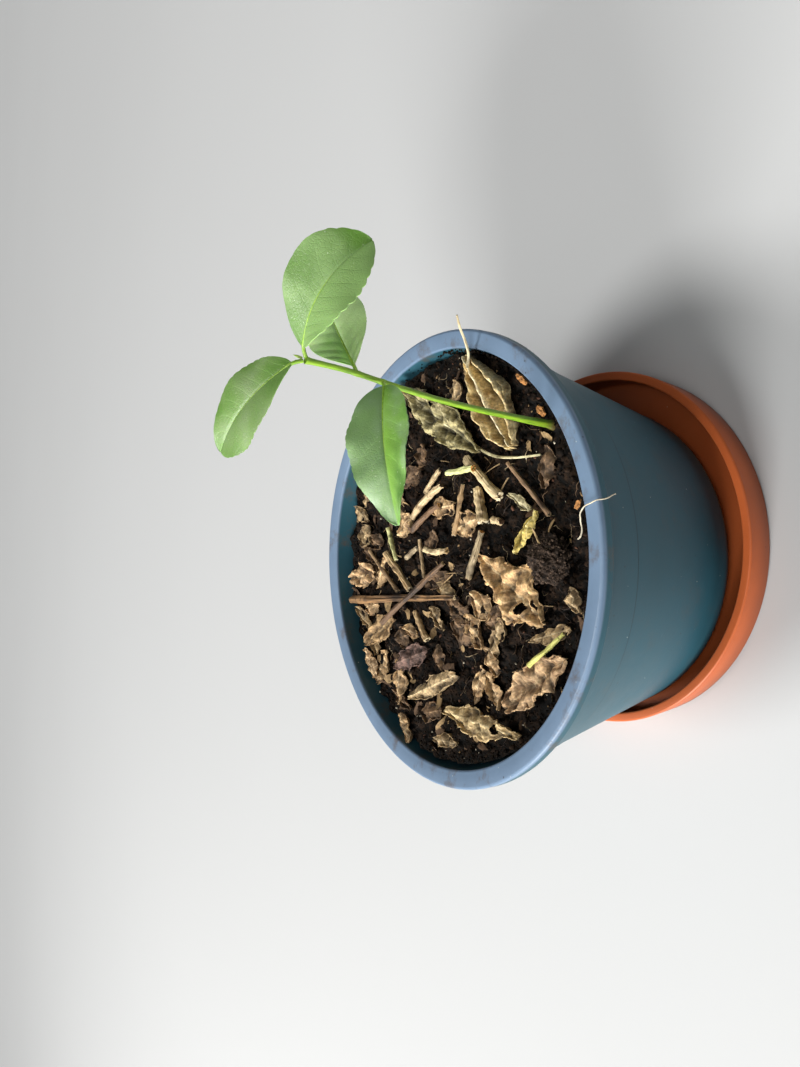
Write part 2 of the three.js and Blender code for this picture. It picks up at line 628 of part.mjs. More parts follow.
function makeCutStem(stem, seed) {
  const [fromRadius, toRadius] = stem.radius;
  const raise = stem.raise ?? 0;
  const bow = stem.bow ?? 0;
  const across = [stem.to[1] - stem.from[1], stem.from[0] - stem.to[0]];
  const length = Math.hypot(...across);
  const points = [];
  for (let i = 0; i <= CUT_STEM_STEPS; i += 1) {
    const s = i / CUT_STEM_STEPS;
    const side = bow * Math.sin(Math.PI * s) / length;
    const x = mix(stem.from[0], stem.to[0], s) + side * across[0];
    const y = mix(stem.from[1], stem.to[1], s) + side * across[1];
    const ends = mix(bedTop(...stem.from), bedTop(...stem.to), s);
    points.push([x, y, ends + raise * s]);
  }
  const swell = (s) => 1 + CUT_STEM_SWELL * scatter(seed, Math.round(s * CUT_STEM_STEPS));
  const radiusAt = (s) => mix(fromRadius, toRadius, s) * swell(s);
  return settle(rod(smoothCurve(points), CUT_STEM_STEPS, CUT_STEM_SIDES, radiusAt));
}

function makeChip(chip) {
  const { top, foot, sides, tilt } = CHIP_SHAPE;
  const slab = new THREE.CylinderGeometry(top, foot, 1, sides).rotateX(Math.PI / 2);
  slab.scale(...chip.size);
  slab.rotateY(radians(tilt));
  slab.rotateZ(radians(chip.heading));
  slab.translate(chip.at[0], chip.at[1], SOIL_LEVEL);
  return settle(weld(slab));
}

function makeClod() {
  const lump = weld(new THREE.SphereGeometry(1, CLOD.sides, CLOD.rings));
  const position = lump.getAttribute('position');
  for (let i = 0; i < position.count; i += 1) {
    const point = new THREE.Vector3().fromBufferAttribute(position, i);
    const grow = 1 + CLOD.roughness * scatter(i, CLOD.rings);
    const x = CLOD.at[0] + point.x * CLOD.size[0] * grow;
    const y = CLOD.at[1] + point.y * CLOD.size[1] * grow;
    const rise = Math.max(0, (CLOD.sunk + point.z) * CLOD.size[2] * grow);
    position.setXYZ(i, x, y, bedTop(x, y) + rise);
  }
  return settle(weld(lump));
}

const plant = new THREE.Group();

function place(parent, name, geometry, look) {
  const material = new THREE.MeshStandardMaterial({ ...LOOKS[look], metalness: 0 });
  const mesh = new THREE.Mesh(geometry, material);
  mesh.name = name;
  parent.add(mesh);
}

const inPot = new THREE.Group();
inPot.position.set(POT_AT[0], POT_AT[1], 0);
plant.add(inPot);

const soil = makeSoil();
const soilSolid = toManifold(soil);

place(plant, 'saucer', makeSaucer(), 'saucer');
place(inPot, 'pot', makePot(), 'pot');
place(inPot, 'soil', soil, 'soil');
place(inPot, 'stem', makeStem(), 'stem');
LEAVES.forEach((leaf) => place(inPot, leaf.name, makeLeaf(leaf), 'leaf'));
place(inPot, 'tip_bud', makeBud(), 'stem');
DRY_LEAVES.forEach((leaf, i) => place(inPot, leaf.name, makeDryLeaf(leaf, i + 1), 'dryLeaf'));
CUT_STEMS.forEach((stem, i) => place(inPot, stem.name, makeCutStem(stem, i + 1), 'wood'));
CHIPS.forEach((chip) => place(inPot, chip.name, makeChip(chip), 'wood'));
place(inPot, 'soil_clod', makeClod(), 'soil');

export default plant;
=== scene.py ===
import json
import math
from functools import partial

import bpy
import numpy as np
from bpy.props import FloatProperty, FloatVectorProperty, IntProperty, PointerProperty
from bpy.types import Operator, Panel, PropertyGroup
from mathutils import Matrix, Vector, noise
from mathutils.bvhtree import BVHTree

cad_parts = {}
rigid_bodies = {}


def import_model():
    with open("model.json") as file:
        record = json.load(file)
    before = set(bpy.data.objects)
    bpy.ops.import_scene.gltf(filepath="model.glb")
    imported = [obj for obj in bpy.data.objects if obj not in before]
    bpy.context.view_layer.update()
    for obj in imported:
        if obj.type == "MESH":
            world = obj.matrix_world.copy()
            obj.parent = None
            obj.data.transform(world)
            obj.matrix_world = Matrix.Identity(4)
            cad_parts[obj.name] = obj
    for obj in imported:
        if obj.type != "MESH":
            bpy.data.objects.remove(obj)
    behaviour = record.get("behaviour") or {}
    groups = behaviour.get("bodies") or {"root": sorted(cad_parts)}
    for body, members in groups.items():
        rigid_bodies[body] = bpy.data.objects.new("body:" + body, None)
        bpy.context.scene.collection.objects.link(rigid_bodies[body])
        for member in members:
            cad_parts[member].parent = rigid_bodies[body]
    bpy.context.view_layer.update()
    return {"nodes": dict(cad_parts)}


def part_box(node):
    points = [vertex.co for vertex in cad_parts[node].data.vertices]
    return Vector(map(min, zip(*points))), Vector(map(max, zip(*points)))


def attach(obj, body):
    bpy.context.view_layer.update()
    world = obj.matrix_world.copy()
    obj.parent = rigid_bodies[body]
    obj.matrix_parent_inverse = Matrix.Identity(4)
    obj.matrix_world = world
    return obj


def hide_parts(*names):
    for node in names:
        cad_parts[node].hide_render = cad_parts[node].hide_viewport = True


bl_info = {
    "name": "Potted Citrus Seedling",
    "version": (1, 0, 0),
    "blender": (4, 5, 0),
    "location": "View3D > Sidebar > Seedling",
    "description": "Models the seedling, its pot, saucer, soil and litter round the fixed frame",
    "category": "Add Mesh",
}

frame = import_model()

# Lengths in the tables below are in millimetres from the pot's axis and the surface under the saucer.
MM = 0.001
# Points nearer than this, in metres, are one point.
DOUBLES = 1e-6
POT_LOW, POT_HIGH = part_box("pot")
SAUCER_LOW, SAUCER_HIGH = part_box("saucer")
AXIS = np.array([(POT_LOW.x + POT_HIGH.x) / 2, (POT_LOW.y + POT_HIGH.y) / 2, 0.0])
POT_RADIUS = (POT_HIGH.x - POT_LOW.x) / 2 / MM
POT_TOP = POT_HIGH.z / MM
POT_BASE = POT_LOW.z / MM
SAUCER_RADIUS = (SAUCER_HIGH.x - SAUCER_LOW.x) / 2 / MM
SAUCER_TOP = SAUCER_HIGH.z / MM
CLEARANCE = 0.3

# The pot's wall and the soil, as the frame has them
WALL_LOW = (15.4, 68.8)
WALL_HIGH = (88.3, 84.6)
FOOT_ROUND = (7.6, 8.4)
POT_FLOOR = 3.0
FLOOR_ROUND = 6.0
RIM_FALL = 0.8
RIM_INNER = 0.8
MOULD_LINE = 77.8
MOULD_GROOVE = {"depth": 0.3, "foot": 0.5, "top": 0.2}
SOIL_LEVEL = 94.0
CLUMP = {"height": 1.5, "length": (2.7, 2.9), "phase": (0.6, -0.4), "wander": 1.2, "wander_length": (9, 11)}
BANKS = (
    {"height": 4.0, "azimuth": -20, "start": 40, "end": 80, "power": 3},
    {"height": 4.5, "azimuth": 183, "start": 58, "end": 80, "power": 6},
)
LEVEL_NEAR = 10
LEVEL_FAR = 18
SOIL_CORNER = (5.5, 7.0)
# The crumbly surface over the clumps: the size and weight of its lumps, small lumps and grit, how much of it
# lies under the clumps' level, its highest point over them, and how fast the painted shade in its crevices
# darkens
LUMPS = ((6.5, 1.7), (2.6, 1.0), (1.1, 0.22))
LUMPS_SUNK = 0.75
LUMPS_MOST = 0.45
CREVICE_SHADE_FADE = 1.6
# Steps of the soil's surface from its edge to its middle and round it
SOIL_STEPS = (145, 500)


def by_name(start, heads, rows):
    """Names the values of each row by the heads. A row may end with a dict of values of its own."""
    heads = heads.split()
    table = {}
    for name, *row in rows:
        table[start + name] = dict(zip(heads, row), **(row[len(heads)] if len(row) > len(heads) else {}))
    return table


# The seedling's stem and leaves, as the frame has them
STEM_FOOT = (44.6, -62.4, 96.0)
STEM_LINE = (
    STEM_FOOT, (46.0, -61.6, 115.0), (48.6, -60.6, 141.0),
    (52.0, -60.0, 162.0), (54.2, -59.5, 174.0), (55.7, -58.9, 187.6),
)
STEM_RADIUS = {"foot": 1.45, "low": 1.05, "high": 0.86, "tip": 0.95}
STEM_TAPER = {"low_over": 22, "high_from": 15, "high_over": 60, "tip_from": 84, "tip_over": 6}
ROOT_FLARE = (0.45, 3.0)
BUD = ((56.3, -58.3, 188.3), (57.0, -57.9, 190.9))
BUD_RADIUS = 0.42
# Each leaf's joint and base with its turns, then its size and bend, its edge, and its colours and gloss; half
# and waxy paint sheen on one half, and band paints light beside the midrib
LEAVES = by_name("leaf_", """
    joint base heading rise roll length width
    droop twist sweep fold_left fold_right cup tip_shape fullness
    teeth tooth smooth_edge wave waves quilt
    deep mid bloom half tip_from coat waxy band""", (
    ("lowest", 162.6, (50.4, -61.9, 163.4), 211, 23, -44, 45, 22.2,
     44, 31, 0.035, 21, 17.5, 0.01, 0.91, 0.68,
     19, 0.026, 0.0, 0.55, 3.5, 0.10,
     0x4E7C24, 0x74A046, 0x92AC86, 0x92AC86, 0.93, 0.5, (0.45, 0.0), 0.6),
    ("second", 171.2, (55.9, -59.1, 171.9), 25.5, 13, 44.5, 29.8, 20.9,
     18, -25, -0.04, 14, 8, 0.23, 1.09, 0.83,
     32, 0.03, 0.0, 0.2, 3.0, 0.22,
     0x80B848, 0x98C272, 0xBCD898, 0xBCD898, 0.97, 0.6, (0.8, 0.1), 0.0),
    ("tip_left", 188.3, (54.4, -58.4, 191.5), 115, 28, 15, 41.8, 24.4,
     35, -24, 0.044, 9, 14, 0.19, 1.08, 0.64,
     15, 0.034, 0.0, 0.35, 2.5, 0.06,
     0x588626, 0x709448, 0x829C66, 0x829C66, 0.86, 0.2, (0.1, 0.25), 0.0),
    ("tip_right", 187.2, (59.1, -59.4, 188.5), -41, 15.5, 4, 36.5, 25.6,
     66, 28, -0.022, 18, 12, 0.04, 1.1, 0.64,
     13, 0.06, 0.85, 0.3, 3.0, 0.05,
     0x588428, 0x5E803C, 0x789858, 0x90B46C, 0.8, 0.0, (0.85, 0.0), 0.0),
))
# Half the width of a blade's tip and its steps along and across, then the radii of its stalk and midrib, the
# share of them that is stalk, their steps and the places of the midrib that they run through
BLADE_TIP_HALF = 0.35
BLADE_STEPS = (116, 64)
STALK_JOINT = 0.62
STALK_BLADE = 0.5
STALK_END = 0.16
STALK_SHARE = 0.12
STALK_STEPS = (90, 14)
RIB_STOPS = (0.12, 0.3, 0.5, 0.7, 0.88)

# Dead leaves on the soil, as the frame has them, each with its light, dark and vein colours
DRY_OUTLINE = {"start": 0.04, "over": 0.92, "fullness": 0.7, "least": 0.12, "flat": 0.35}
DRY_STEP = 4
DRY_LEAST_STEPS = 5
DRY_RAGGED = 0.12
DRY_CRUMPLE = 0.15
# Sizes of crease in a dead leaf, each of them this share of the one before
CREASE_SIZES = 8
CREASE_SHARE = 0.74
DRY_LEAVES = by_name("dry_", "at heading length width pleats height light dark vein holes", (
    ("leaf_pleated", (57.5, -34.3), 31, 43, 23, 3, 3.6, 0xDCC692, 0x7C5E32, 0xE6D8B4,
     ((0.10, 0.15, 0.05, 0.22),),
     {"stalk_from": 0.36,
      "stalk": ((76.0, -26.4, 103.8), (80.2, -29.0, 107.6), (83.3, -31.2, 111.2), (86.5, -35.5, 116.0)),
      "profile": (0.9, 1.22, 0.55), "lobes": 0.08, "spread": 0.1, "fold": 7.0, "deepen": 0.6, "curl": 2.4,
      "drift": 0.25}),
    ("leaf_grey", (56.0, 0.2), 57, 58, 15.5, 2, 3.0, 0xB0A476, 0x423A1E, 0xDCD2A8,
     ((0.62, -0.35, 0.03, 0.16),),
     {"stalk_from": -0.42, "stalk": ((37.4, -32.5, 97.0), (35.6, -44.0, 96.9), (34.9, -57.4, 97.3)),
      "profile": (0.75, 1.35, 1.25), "lobes": 0.16, "spread": 0.5, "fold": 7.0, "deepen": 0.3, "curl": 2.4}),
    ("leaf_tan", (-11.5, -41.2), 56, 42, 18, 2, 3.4, 0xC9A675, 0x6A4726, 0xDCC498,
     ((0.30, 0.25, 0.045, 0.22), (0.16, -0.35, 0.05, 0.2)),
     {"profile": (1.1, 1.4, 1.0), "lobes": 0.4, "curl": 2.6}),
    ("leaf_brown", (-44.6, -52.0), 124, 38, 12.5, 2, 3.2, 0xBE9E76, 0x64462E, 0xD2B68E, (),
     {"profile": (1.1, 1.35, 1.2), "lobes": 0.4, "curl": 2.4}),
    ("leaf_pale", (-62.6, -23.0), 87, 47, 10, 1, 2.6, 0xCCB282, 0x6E5535, 0xDCC79A, ((0.3, 0.0, 0.04, 0.4),),
     {"profile": (1.0, 1.2, 1.1), "lobes": 0.4, "spread": 0.6, "curl": 2.2}),
    ("leaf_split", (-53.0, 9.5), 112, 35, 9, 1, 2.2, 0xB39A72, 0x5F4A30, 0xCDB68C, ()),
    ("leaf_dark", (-43.0, 26.5), 108, 29, 9.5, 1, 2.2, 0x6E544A, 0x36261F, 0x8A6E60, ()),
    ("leaf_far", (-8.0, 67.0), 100, 24, 13, 2, 2.0, 0xC9A77C, 0x7E5F3E, 0xDFC499, ()),
    ("leaf_wall", (-48.2, 58.2), 35, 15, 8, 1, 2.2, 0xC3A57E, 0x75583A, 0xDABF96, ()),
    ("leaf_low", (-33.0, 51.5), 118, 28, 12, 2, 1.8, 0xA8895F, 0x5A4229, 0xC6A87C, ()),
    ("leaf_edge", (57.5, 31.0), 165, 33, 6, 1, 3.0, 0xCBA876, 0x85643C, 0xE0C79C, ()),
    ("curl_small", (19.3, -46.3), 60, 13, 4.5, 1, 2.0, 0xB8AC86, 0x6A6042, 0xD5CCA6, ()),
    ("curl_long", (8.4, -48.8), 141, 19, 5.5, 1, 2.8, 0xCDB868, 0x8A7636, 0xE2D49A, ()),
))

# Cut stems on the soil: bark colours in light and shade, the colour of the cut, and a swelling at a joint
CUT_STEMS = by_name("cut_stem_", "light dark cut knot", (
    ("thick", 0xE2CCA0, 0x8E7048, 0xEAD9B4, 0.12),
    ("pale", 0xDFE0A0, 0xB9B96A, 0xD99A55, 0.1),
    ("short", 0xDEC498, 0x866A42, 0xE6D2AC, 0.0),
    ("bent", 0xDEC498, 0x806238, 0x4A3322, 0.0),
    ("dark", 0x7A5C40, 0x43301F, 0xDDB07A, 0.0),
    ("stout", 0xDCC496, 0x785C38, 0xEEDDBA, 0.14),
    ("stub", 0xD6BC90, 0x785C3C, 0x6A4C34, 0.0),
    ("jointed", 0xB4946A, 0x765A3C, 0xE2D0AC, 0.3),
    ("green", 0xD9D698, 0x9C9A58, 0xE8DDB0, 0.0),
    ("far", 0xA98C66, 0x664C34, 0xDCC298, 0.1),
    ("far_thick", 0xC9AB7E, 0x71543A, 0xE6D0A6, 0.0, {"groove": 0.4}),
    ("longest", 0x9A744A, 0x2E1D10, 0xE2C79A, 0.05, {"groove": 0.6, "dull": 0.06}),
    ("crossing", 0x7A5A3A, 0x322114, 0xE0C494, 0.06, {"groove": 0.3, "dull": 0.06}),
    ("thin", 0xBBA078, 0x7C6346, 0xDCC79E, 0.1),
    ("arched", 0xD2BC92, 0x8E7450, 0xE4BE86, 0.0),
    ("grey", 0xC6B28E, 0x846C50, 0xDCC8AC, 0.0),
    ("orange_end", 0xAA9673, 0x4E3E2C, 0xDE9A4E, 0.0, {"groove": 0.3}),
    ("slender", 0xA08060, 0x604838, 0xCDB08A, 0.15),
    ("split_end", 0xC2A478, 0x7A5C3C, 0xE2CCA2, 0.0),
    ("yellow", 0xD8D478, 0xA09C48, 0xE6DCA0, 0.2),
))
# Scraps of leaf that show, with their place, heading, length and width, and the least way between two others
SCRAP_GAP = 6.5
SCRAPS_SEEN = (
    (-54.2, 35.6, 5, 20, 9), (30.5, -59.6, -12, 15, 9), (-14.7, -70.7, 20, 9, 6), (-73.0, 28.0, 40, 14, 7),
    (-6.8, 61.0, 75, 15, 12), (-38.0, 58.0, 20, 14, 9), (-22.0, 60.0, 100, 12, 9), (8.0, 55.0, 60, 11, 7),
)
SCRAP_TONES = by_name("", "light dark vein length", (
    ("tan", 0xC2A276, 0x684A30, 0xD6BC94, 14),
    ("brown", 0x6E543A, 0x382A1C, 0x8E7254, 14),
    ("grey", 0xAA9068, 0x564430, 0xC4AE88, 14),
))
CHIPS = ("bark_chip_long", "bark_chip_stem", "bark_chip_rim")
CLOD = {
    "at": (-1.0, -61.6), "size": (8.6, 8.2, 6.2), "sunk": 0.35, "crumbs": 420,
    "stick": ((3.5, -61.0, 101.5), (6.6, -60.4, 102.7), (9.5, -59.5, 103.5)),
}

# A pale rootlet that has grown over the rim and hangs outside it
ROOTLET = (
    (5.4, -73.0, 96.0), (6.4, -75.2, 96.8), (8.8, -76.4, 97.6), (11.4, -77.4, 99.2), (13.4, -79.8, 101.6),
    (15.1, -82.2, 102.6), (16.2, -85.5, 103.0), (16.9, -88.2, 103.0), (17.2, -89.2, 101.6),
    (17.7, -89.5, 99.2), (18.6, -89.4, 97.4), (19.0, -89.5, 96.2),
)

# Soil drawn up round the stem's foot, how far a leaf's side veins lean towards its tip, and the lamps' colour
STEM_MOUND = 0.95
STEM_MOUND_REACH = 3.4
VEIN_LEAN = 0.2
LAMP_WHITE = 0xFBFAF7

# The sockets that values fill in turn, for the kinds of shader node where they aren't the first ones
SOCKETS = {
    "Mix": (0, 6, 7),
    "TexNoise": ("Vector", "Scale", "Detail", "Roughness"),
    "TexVoronoi": ("Vector", "Scale"),
    "Mapping": ("Vector", "Scale", "Location"),
    "Bump": ("Height", "Strength", "Distance"),
}
MIX_RESULT = 2


def linear(tone):
    """An sRGB hex colour as linear red, green and blue. A colour that is linear stays as it is."""
    if not isinstance(tone, int):
        return tuple(tone)
    parts = [((tone >> shift) & 255) / 255 for shift in (16, 8, 0)]
    return tuple(c / 12.92 if c <= 0.04045 else ((c + 0.055) / 1.055) ** 2.4 for c in parts)


def rgba(tone):
    return (*linear(tone), 1.0)


def scaled(tone, factor):
    return tuple(c * factor for c in linear(tone))


def length(name, description, millimetres):
    return FloatProperty(name=name, description=description, default=millimetres * MM, unit="LENGTH")


def tint(name, description, tone):
    return FloatVectorProperty(name=name, description=description, default=linear(tone), subtype="COLOR")


def count(name, description, default):
    return IntProperty(name=name, description=description, default=default, min=0)


class PotSettings(PropertyGroup):
    """Sizes and colours of the pot and the saucer"""

    sides: count("Sides", "Steps round the pot and the saucer", 224)
    rim_width: length("Rim Width", "Width of the rim seen from above", 7.2)
    lip_depth: length("Lip Depth", "Height of the rim's outer band", 5.2)
    wall: length("Wall", "Thickness of the pot's wall at its foot", 3.2)
    wall_tint: tint("Wall Colour", "Colour of the pot's wall", 0x28505D)
    # The rim's paler colour is painted sheen: the rim's top is lighter as light falls on it.
    rim_sheen_tint: tint("Rim Colour", "Colour of the pot's rim", 0x667B93)
    saucer_rim: length("Saucer Rim", "Width of the saucer's rim", 3.8)
    saucer_wall: length("Saucer Wall", "Thickness of the saucer's wall", 2.4)
    saucer_tint: tint("Saucer Colour", "Colour of the saucer", 0xB45A2E)


class SoilSettings(PropertyGroup):
    """Sizes, numbers and colours of the potting soil"""

    relief: length("Relief", "Depth of the crevices in the soil", 1.7)
    coarse: count("Coarse Crumbs", "Crumbs of 2 to 3.6 mm", 480)
    medium: count("Medium Crumbs", "Crumbs of 1 to 2 mm", 3900)
    fine: count("Fine Crumbs", "Crumbs of 0.5 to 1 mm", 6600)
    edge: count("Edge Crumbs", "Crumbs against the pot's wall", 700)
    clinging: count("Clinging Crumbs", "Crumbs that cling to the rim's inside beside the stem", 260)
    fibres: count("Fibres", "Peat fibres and rootlets on the soil", 240)
    flakes: count("Leaf Flakes", "Broken bits of dead leaf", 110)
    twigs: count("Twigs", "Thin bits of twig", 46)
    grains: count("Pale Grains", "Pale mineral grains", 90)
    chips: count("Bark Bits", "Bits of bark", 90)
    dark_tint: tint("Dark Peat", "Colour of the wet peat", 0x0C0805)
    brown_tint: tint("Brown Peat", "Colour of the drier peat", 0x281C13)


class PlantSettings(PropertyGroup):
    """Sizes and colours of the living plant"""

    blade: length("Blade Thickness", "Thickness of a leaf", 0.28)
    veins: count("Side Veins", "Side veins on each half of a leaf", 8)
    stem_tint: tint("Stem Colour", "Lit green of the stem", 0x88AE26)
    stem_shade: tint("Stem Shade", "Darker green streaks of the stem", 0x567E16)


class LitterSettings(PropertyGroup):
    """Sizes of the dead leaves and cut stems"""

    leaf: length("Dead Leaf Thickness", "Thickness of a dead leaf", 0.25)
    crease: length("Crease", "Height of the creases in a dead leaf", 0.75)
    scraps: count("Scraps", "Crumpled scraps of dead leaf", 44)
    ridge: length("Bark Ridges", "Height of the ridges along a cut stem", 0.19)


class StageSettings(PropertyGroup):
    """Floor, lights and camera"""

    floor_tint: tint("Floor Colour", "Colour of the plain floor", 0xB6B7B8)
    key: FloatProperty(name="Key Light", description="Power of the light overhead", default=2.5)
    front: FloatProperty(name="Front Light", description="Power of the light over the camera", default=1.0)
    side: FloatProperty(name="Side Light", description="Power of the light beside the pot", default=90.0)
    sky: FloatProperty(name="Sky", description="Strength of the even light all round", default=0.11)


def mix(a, b, k):
    return a + (b - a) * k


def smooth(k):
    c = np.clip(k, 0, 1)
    return c * c * (3 - 2 * c)


def scatter(a, b):
    """A repeatable value from -1 to 1 for a pair of numbers, as in the frame."""
    v = math.sin(a * 12.9898 + b * 78.233) * 43758.5453
    return 2 * (v - math.floor(v)) - 1


def roughness(points, size, octaves, seed):
    """Smooth random heights from about -1 to 1 at points, with features of a size in the same unit."""
    shift = Vector((seed * 17.3, seed * 5.1, seed * 9.7))
    return np.array([noise.fractal(Vector(p) / size + shift, 1.0, 2.0, octaves) for p in points])


def to_frame(points):
    """Millimetres from the pot's axis to metres in the shared frame."""
    return np.asarray(points, float) * MM + AXIS


def wall_radius(z):
    return mix(WALL_LOW[1], WALL_HIGH[1], (z - WALL_LOW[0]) / (WALL_HIGH[0] - WALL_LOW[0]))


def inner_radius(z, rim_width, wall):
    foot = POT_BASE + POT_FLOOR + FLOOR_ROUND
    k = (z - foot) / (POT_TOP - RIM_FALL - RIM_INNER - foot)
    return mix(wall_radius(foot) - wall, POT_RADIUS - rim_width, k)


def bed_top(x, y):
    """Height of the soil without its clumps, in millimetres, x and y from the pot's axis."""
    height = SOIL_LEVEL + np.zeros_like(x)
    for bank in BANKS:
        side = np.maximum(0, np.cos(np.arctan2(y, x) - math.radians(bank["azimuth"])))
        out = (np.hypot(x, y) - bank["start"]) / (bank["end"] - bank["start"])
        height = height + bank["height"] * smooth(out) * side ** bank["power"]
    return height


def soil_top(x, y):
    """Height of the frame's soil with its clumps."""
    size, phase, across = CLUMP["length"], CLUMP["phase"], CLUMP["wander_length"]
    rows = np.sin(x / size[0] + phase[0] + CLUMP["wander"] * np.sin(y / across[0]))
    columns = np.cos(y / size[1] + phase[1] + CLUMP["wander"] * np.sin(x / across[1]))
    loose = bed_top(x, y) + CLUMP["height"] * rows * columns
    level = smooth((LEVEL_FAR - from_stem(x, y)) / (LEVEL_FAR - LEVEL_NEAR))
    return mix(loose, STEM_FOOT[2] - CLEARANCE, level)


def from_stem(x, y):
    return np.hypot(x - STEM_FOOT[0], y - STEM_FOOT[1])


def soil_surface(x, y, depth):
    """Height of the crumbly soil, and how deep each place lies in the crevices, from 0 to 1, for the painted
    shade there.
    """
    flat = np.column_stack([x, y, np.zeros_like(x)])
    lumps, small, grit = (weight * roughness(flat, size, 2, k) for k, (size, weight) in enumerate(LUMPS, 1))
    rise = np.abs(lumps) + np.abs(small) + grit - LUMPS_SUNK
    drawn_up = STEM_MOUND * np.exp(-(from_stem(x, y) / STEM_MOUND_REACH) ** 2)
    return soil_top(x, y) + np.minimum(LUMPS_MOST, depth * rise) + drawn_up, smooth(-rise * CREVICE_SHADE_FADE)


def deselect():
    if bpy.context.object and bpy.context.object.mode != "OBJECT":
        bpy.ops.object.mode_set(mode="OBJECT")
    bpy.ops.object.select_all(action="DESELECT")


def activate(*pieces):
    """Makes pieces the only ones selected, in object mode, with the first one active."""
    deselect()
    for piece in pieces:
        piece.select_set(True)
    bpy.context.view_layer.objects.active = pieces[0]


def set_mode(mode):
    bpy.ops.object.mode_set(mode=mode)


def edit(piece, action="SELECT", kind="VERT"):
    """Opens a piece in edit mode, with all or none of its points or faces selected."""
    activate(piece)
    set_mode("EDIT")
    bpy.ops.mesh.select_mode(type=kind)
    bpy.ops.mesh.select_all(action=action)


def edit_faces(piece, chosen):
    """Opens a piece in edit mode with only its chosen faces selected."""
    edit(piece, "DESELECT", "FACE")
    set_mode("OBJECT")
    for face in piece.data.polygons:
        face.select = chosen(face)
    set_mode("EDIT")


def close_up():
    """Merges the doubles of the piece in edit mode, closes its ends and turns its faces outwards."""
    bpy.ops.mesh.select_all(action="SELECT")
    bpy.ops.mesh.remove_doubles(threshold=DOUBLES)
    bpy.ops.mesh.fill_holes(sides=0)
    bpy.ops.mesh.select_all(action="SELECT")
    bpy.ops.mesh.normals_make_consistent(inside=False)
    set_mode("OBJECT")


def read_points(piece):
    points = np.empty(len(piece.data.vertices) * 3)
    piece.data.vertices.foreach_get("co", points)
    return points.reshape(-1, 3)


def write_points(piece, points):
    piece.data.vertices.foreach_set("co", np.asarray(points, float).ravel())
    piece.data.update()


def turned(name, outline, steps, centre=(0, 0)):
    """Extrudes an outline of (radius, height) points in millimetres and spins it into a closed piece."""
    deselect()
    (radius, height), *rest = [(r * MM, z * MM) for r, z in outline]
    bpy.ops.mesh.primitive_plane_add(size=MM, location=(centre[0] + radius, centre[1], height))
    piece = bpy.context.object
    piece.name = name
    bpy.ops.object.transform_apply()
    edit(piece)
    bpy.ops.mesh.merge(type="CENTER")
    for next_radius, next_height in rest:
        step = (next_radius - radius, 0, next_height - height)
        bpy.ops.mesh.extrude_region_move(TRANSFORM_OT_translate={"value": step})
        radius, height = next_radius, next_height
    bpy.ops.mesh.select_all(action="SELECT")
    bpy.ops.mesh.spin(steps=steps, angle=2 * math.pi, center=(centre[0], centre[1], 0), axis=(0, 0, 1))
    close_up()
    return piece


def give(piece, name, values):
    """Stores one number for each point of a piece, for its material."""
    piece.data.attributes.new(name, "FLOAT", "POINT").data.foreach_set("value", np.asarray(values, float))


def corner(radius, height, rounding, start, end, steps):
    """Points of a rounded corner in an outline, from one angle to another about its centre.

    The rounding is a radius, or a width and a height.
    """
    wide, high = rounding if isinstance(rounding, tuple) else (rounding, rounding)
    angles = [math.radians(mix(start, end, i / steps)) for i in range(steps + 1)]
    return [(radius + wide * math.cos(a), height + high * math.sin(a)) for a in angles]


def grid(name, steps, columns, place):
    """A grid whose points are moved to place(s, t), with s along and t across, both from 0 to 1."""
    deselect()
    bpy.ops.mesh.primitive_grid_add(x_subdivisions=steps, y_subdivisions=columns, size=1, calc_uvs=True)
    piece = bpy.context.object
    piece.name = name
    flat = read_points(piece)
    write_points(piece, place(flat[:, 0] + 0.5, flat[:, 1] + 0.5))
    return piece


def stations(points, number):
    """Evenly spaced stations on a smooth line through points: centres and three directions at each."""
    knots = np.array(points, float)
    ends = np.vstack([2 * knots[0] - knots[1], knots, 2 * knots[-1] - knots[-2]])
    fine = []
    for a, b, c, d in zip(ends, ends[1:], ends[2:], ends[3:]):
        for k in np.linspace(0, 1, 12, endpoint=False):
            bend = 2 * b + (c - a) * k + (2 * a - 5 * b + 4 * c - d) * k ** 2
            fine.append((bend + (3 * b - a - 3 * c + d) * k ** 3) / 2)
    fine = np.array([*fine, knots[-1]])
    run = np.concatenate([[0], np.cumsum(np.linalg.norm(np.diff(fine, axis=0), axis=1))])
    stops = np.linspace(0, run[-1], number)
    centre = np.column_stack([np.interp(stops, run, fine[:, i]) for i in range(3)])
    ahead = np.gradient(centre, axis=0)
    ahead /= np.linalg.norm(ahead, axis=1)[:, None]
    side = np.empty_like(centre)
    last = np.cross(ahead[0], (0.3, 0.2, 1.0) if abs(ahead[0][2]) < 0.9 else (0.0, 1.0, 0.1))
    for i, direction in enumerate(ahead):
        last = last - direction * last.dot(direction)
        last /= np.linalg.norm(last)
        side[i] = last
    return centre, ahead, side, np.cross(ahead, side)


def rod(name, points, radius_at, steps, sides, relief=None, ragged=0.0, seed=0.0):
    """Rolls a grid round a smooth line and closes its ends. Lengths are in metres."""
    centre, ahead, side, up = stations(points, steps + 1)

    def place(s, t):
        i = np.rint(s * steps).astype(int)
        angle = 2 * math.pi * t
        radius = radius_at(s)
        if relief:
            radius = radius + relief(s, angle)
        ring = side[i] * np.cos(angle)[:, None] + up[i] * np.sin(angle)[:, None]
        ends = np.where(s < 0.5 / steps, -1.0, np.where(s > 1 - 0.5 / steps, 1.0, 0.0))
        torn = np.array([noise.noise(Vector(r) * 2.1 + Vector((seed, e, 0))) for r, e in zip(ring, ends)])
        return centre[i] + ring * radius[:, None] + ahead[i] * (ends * torn * ragged)[:, None]

    piece = grid(name, steps, sides, place)
    edit(piece)
    close_up()
    return piece


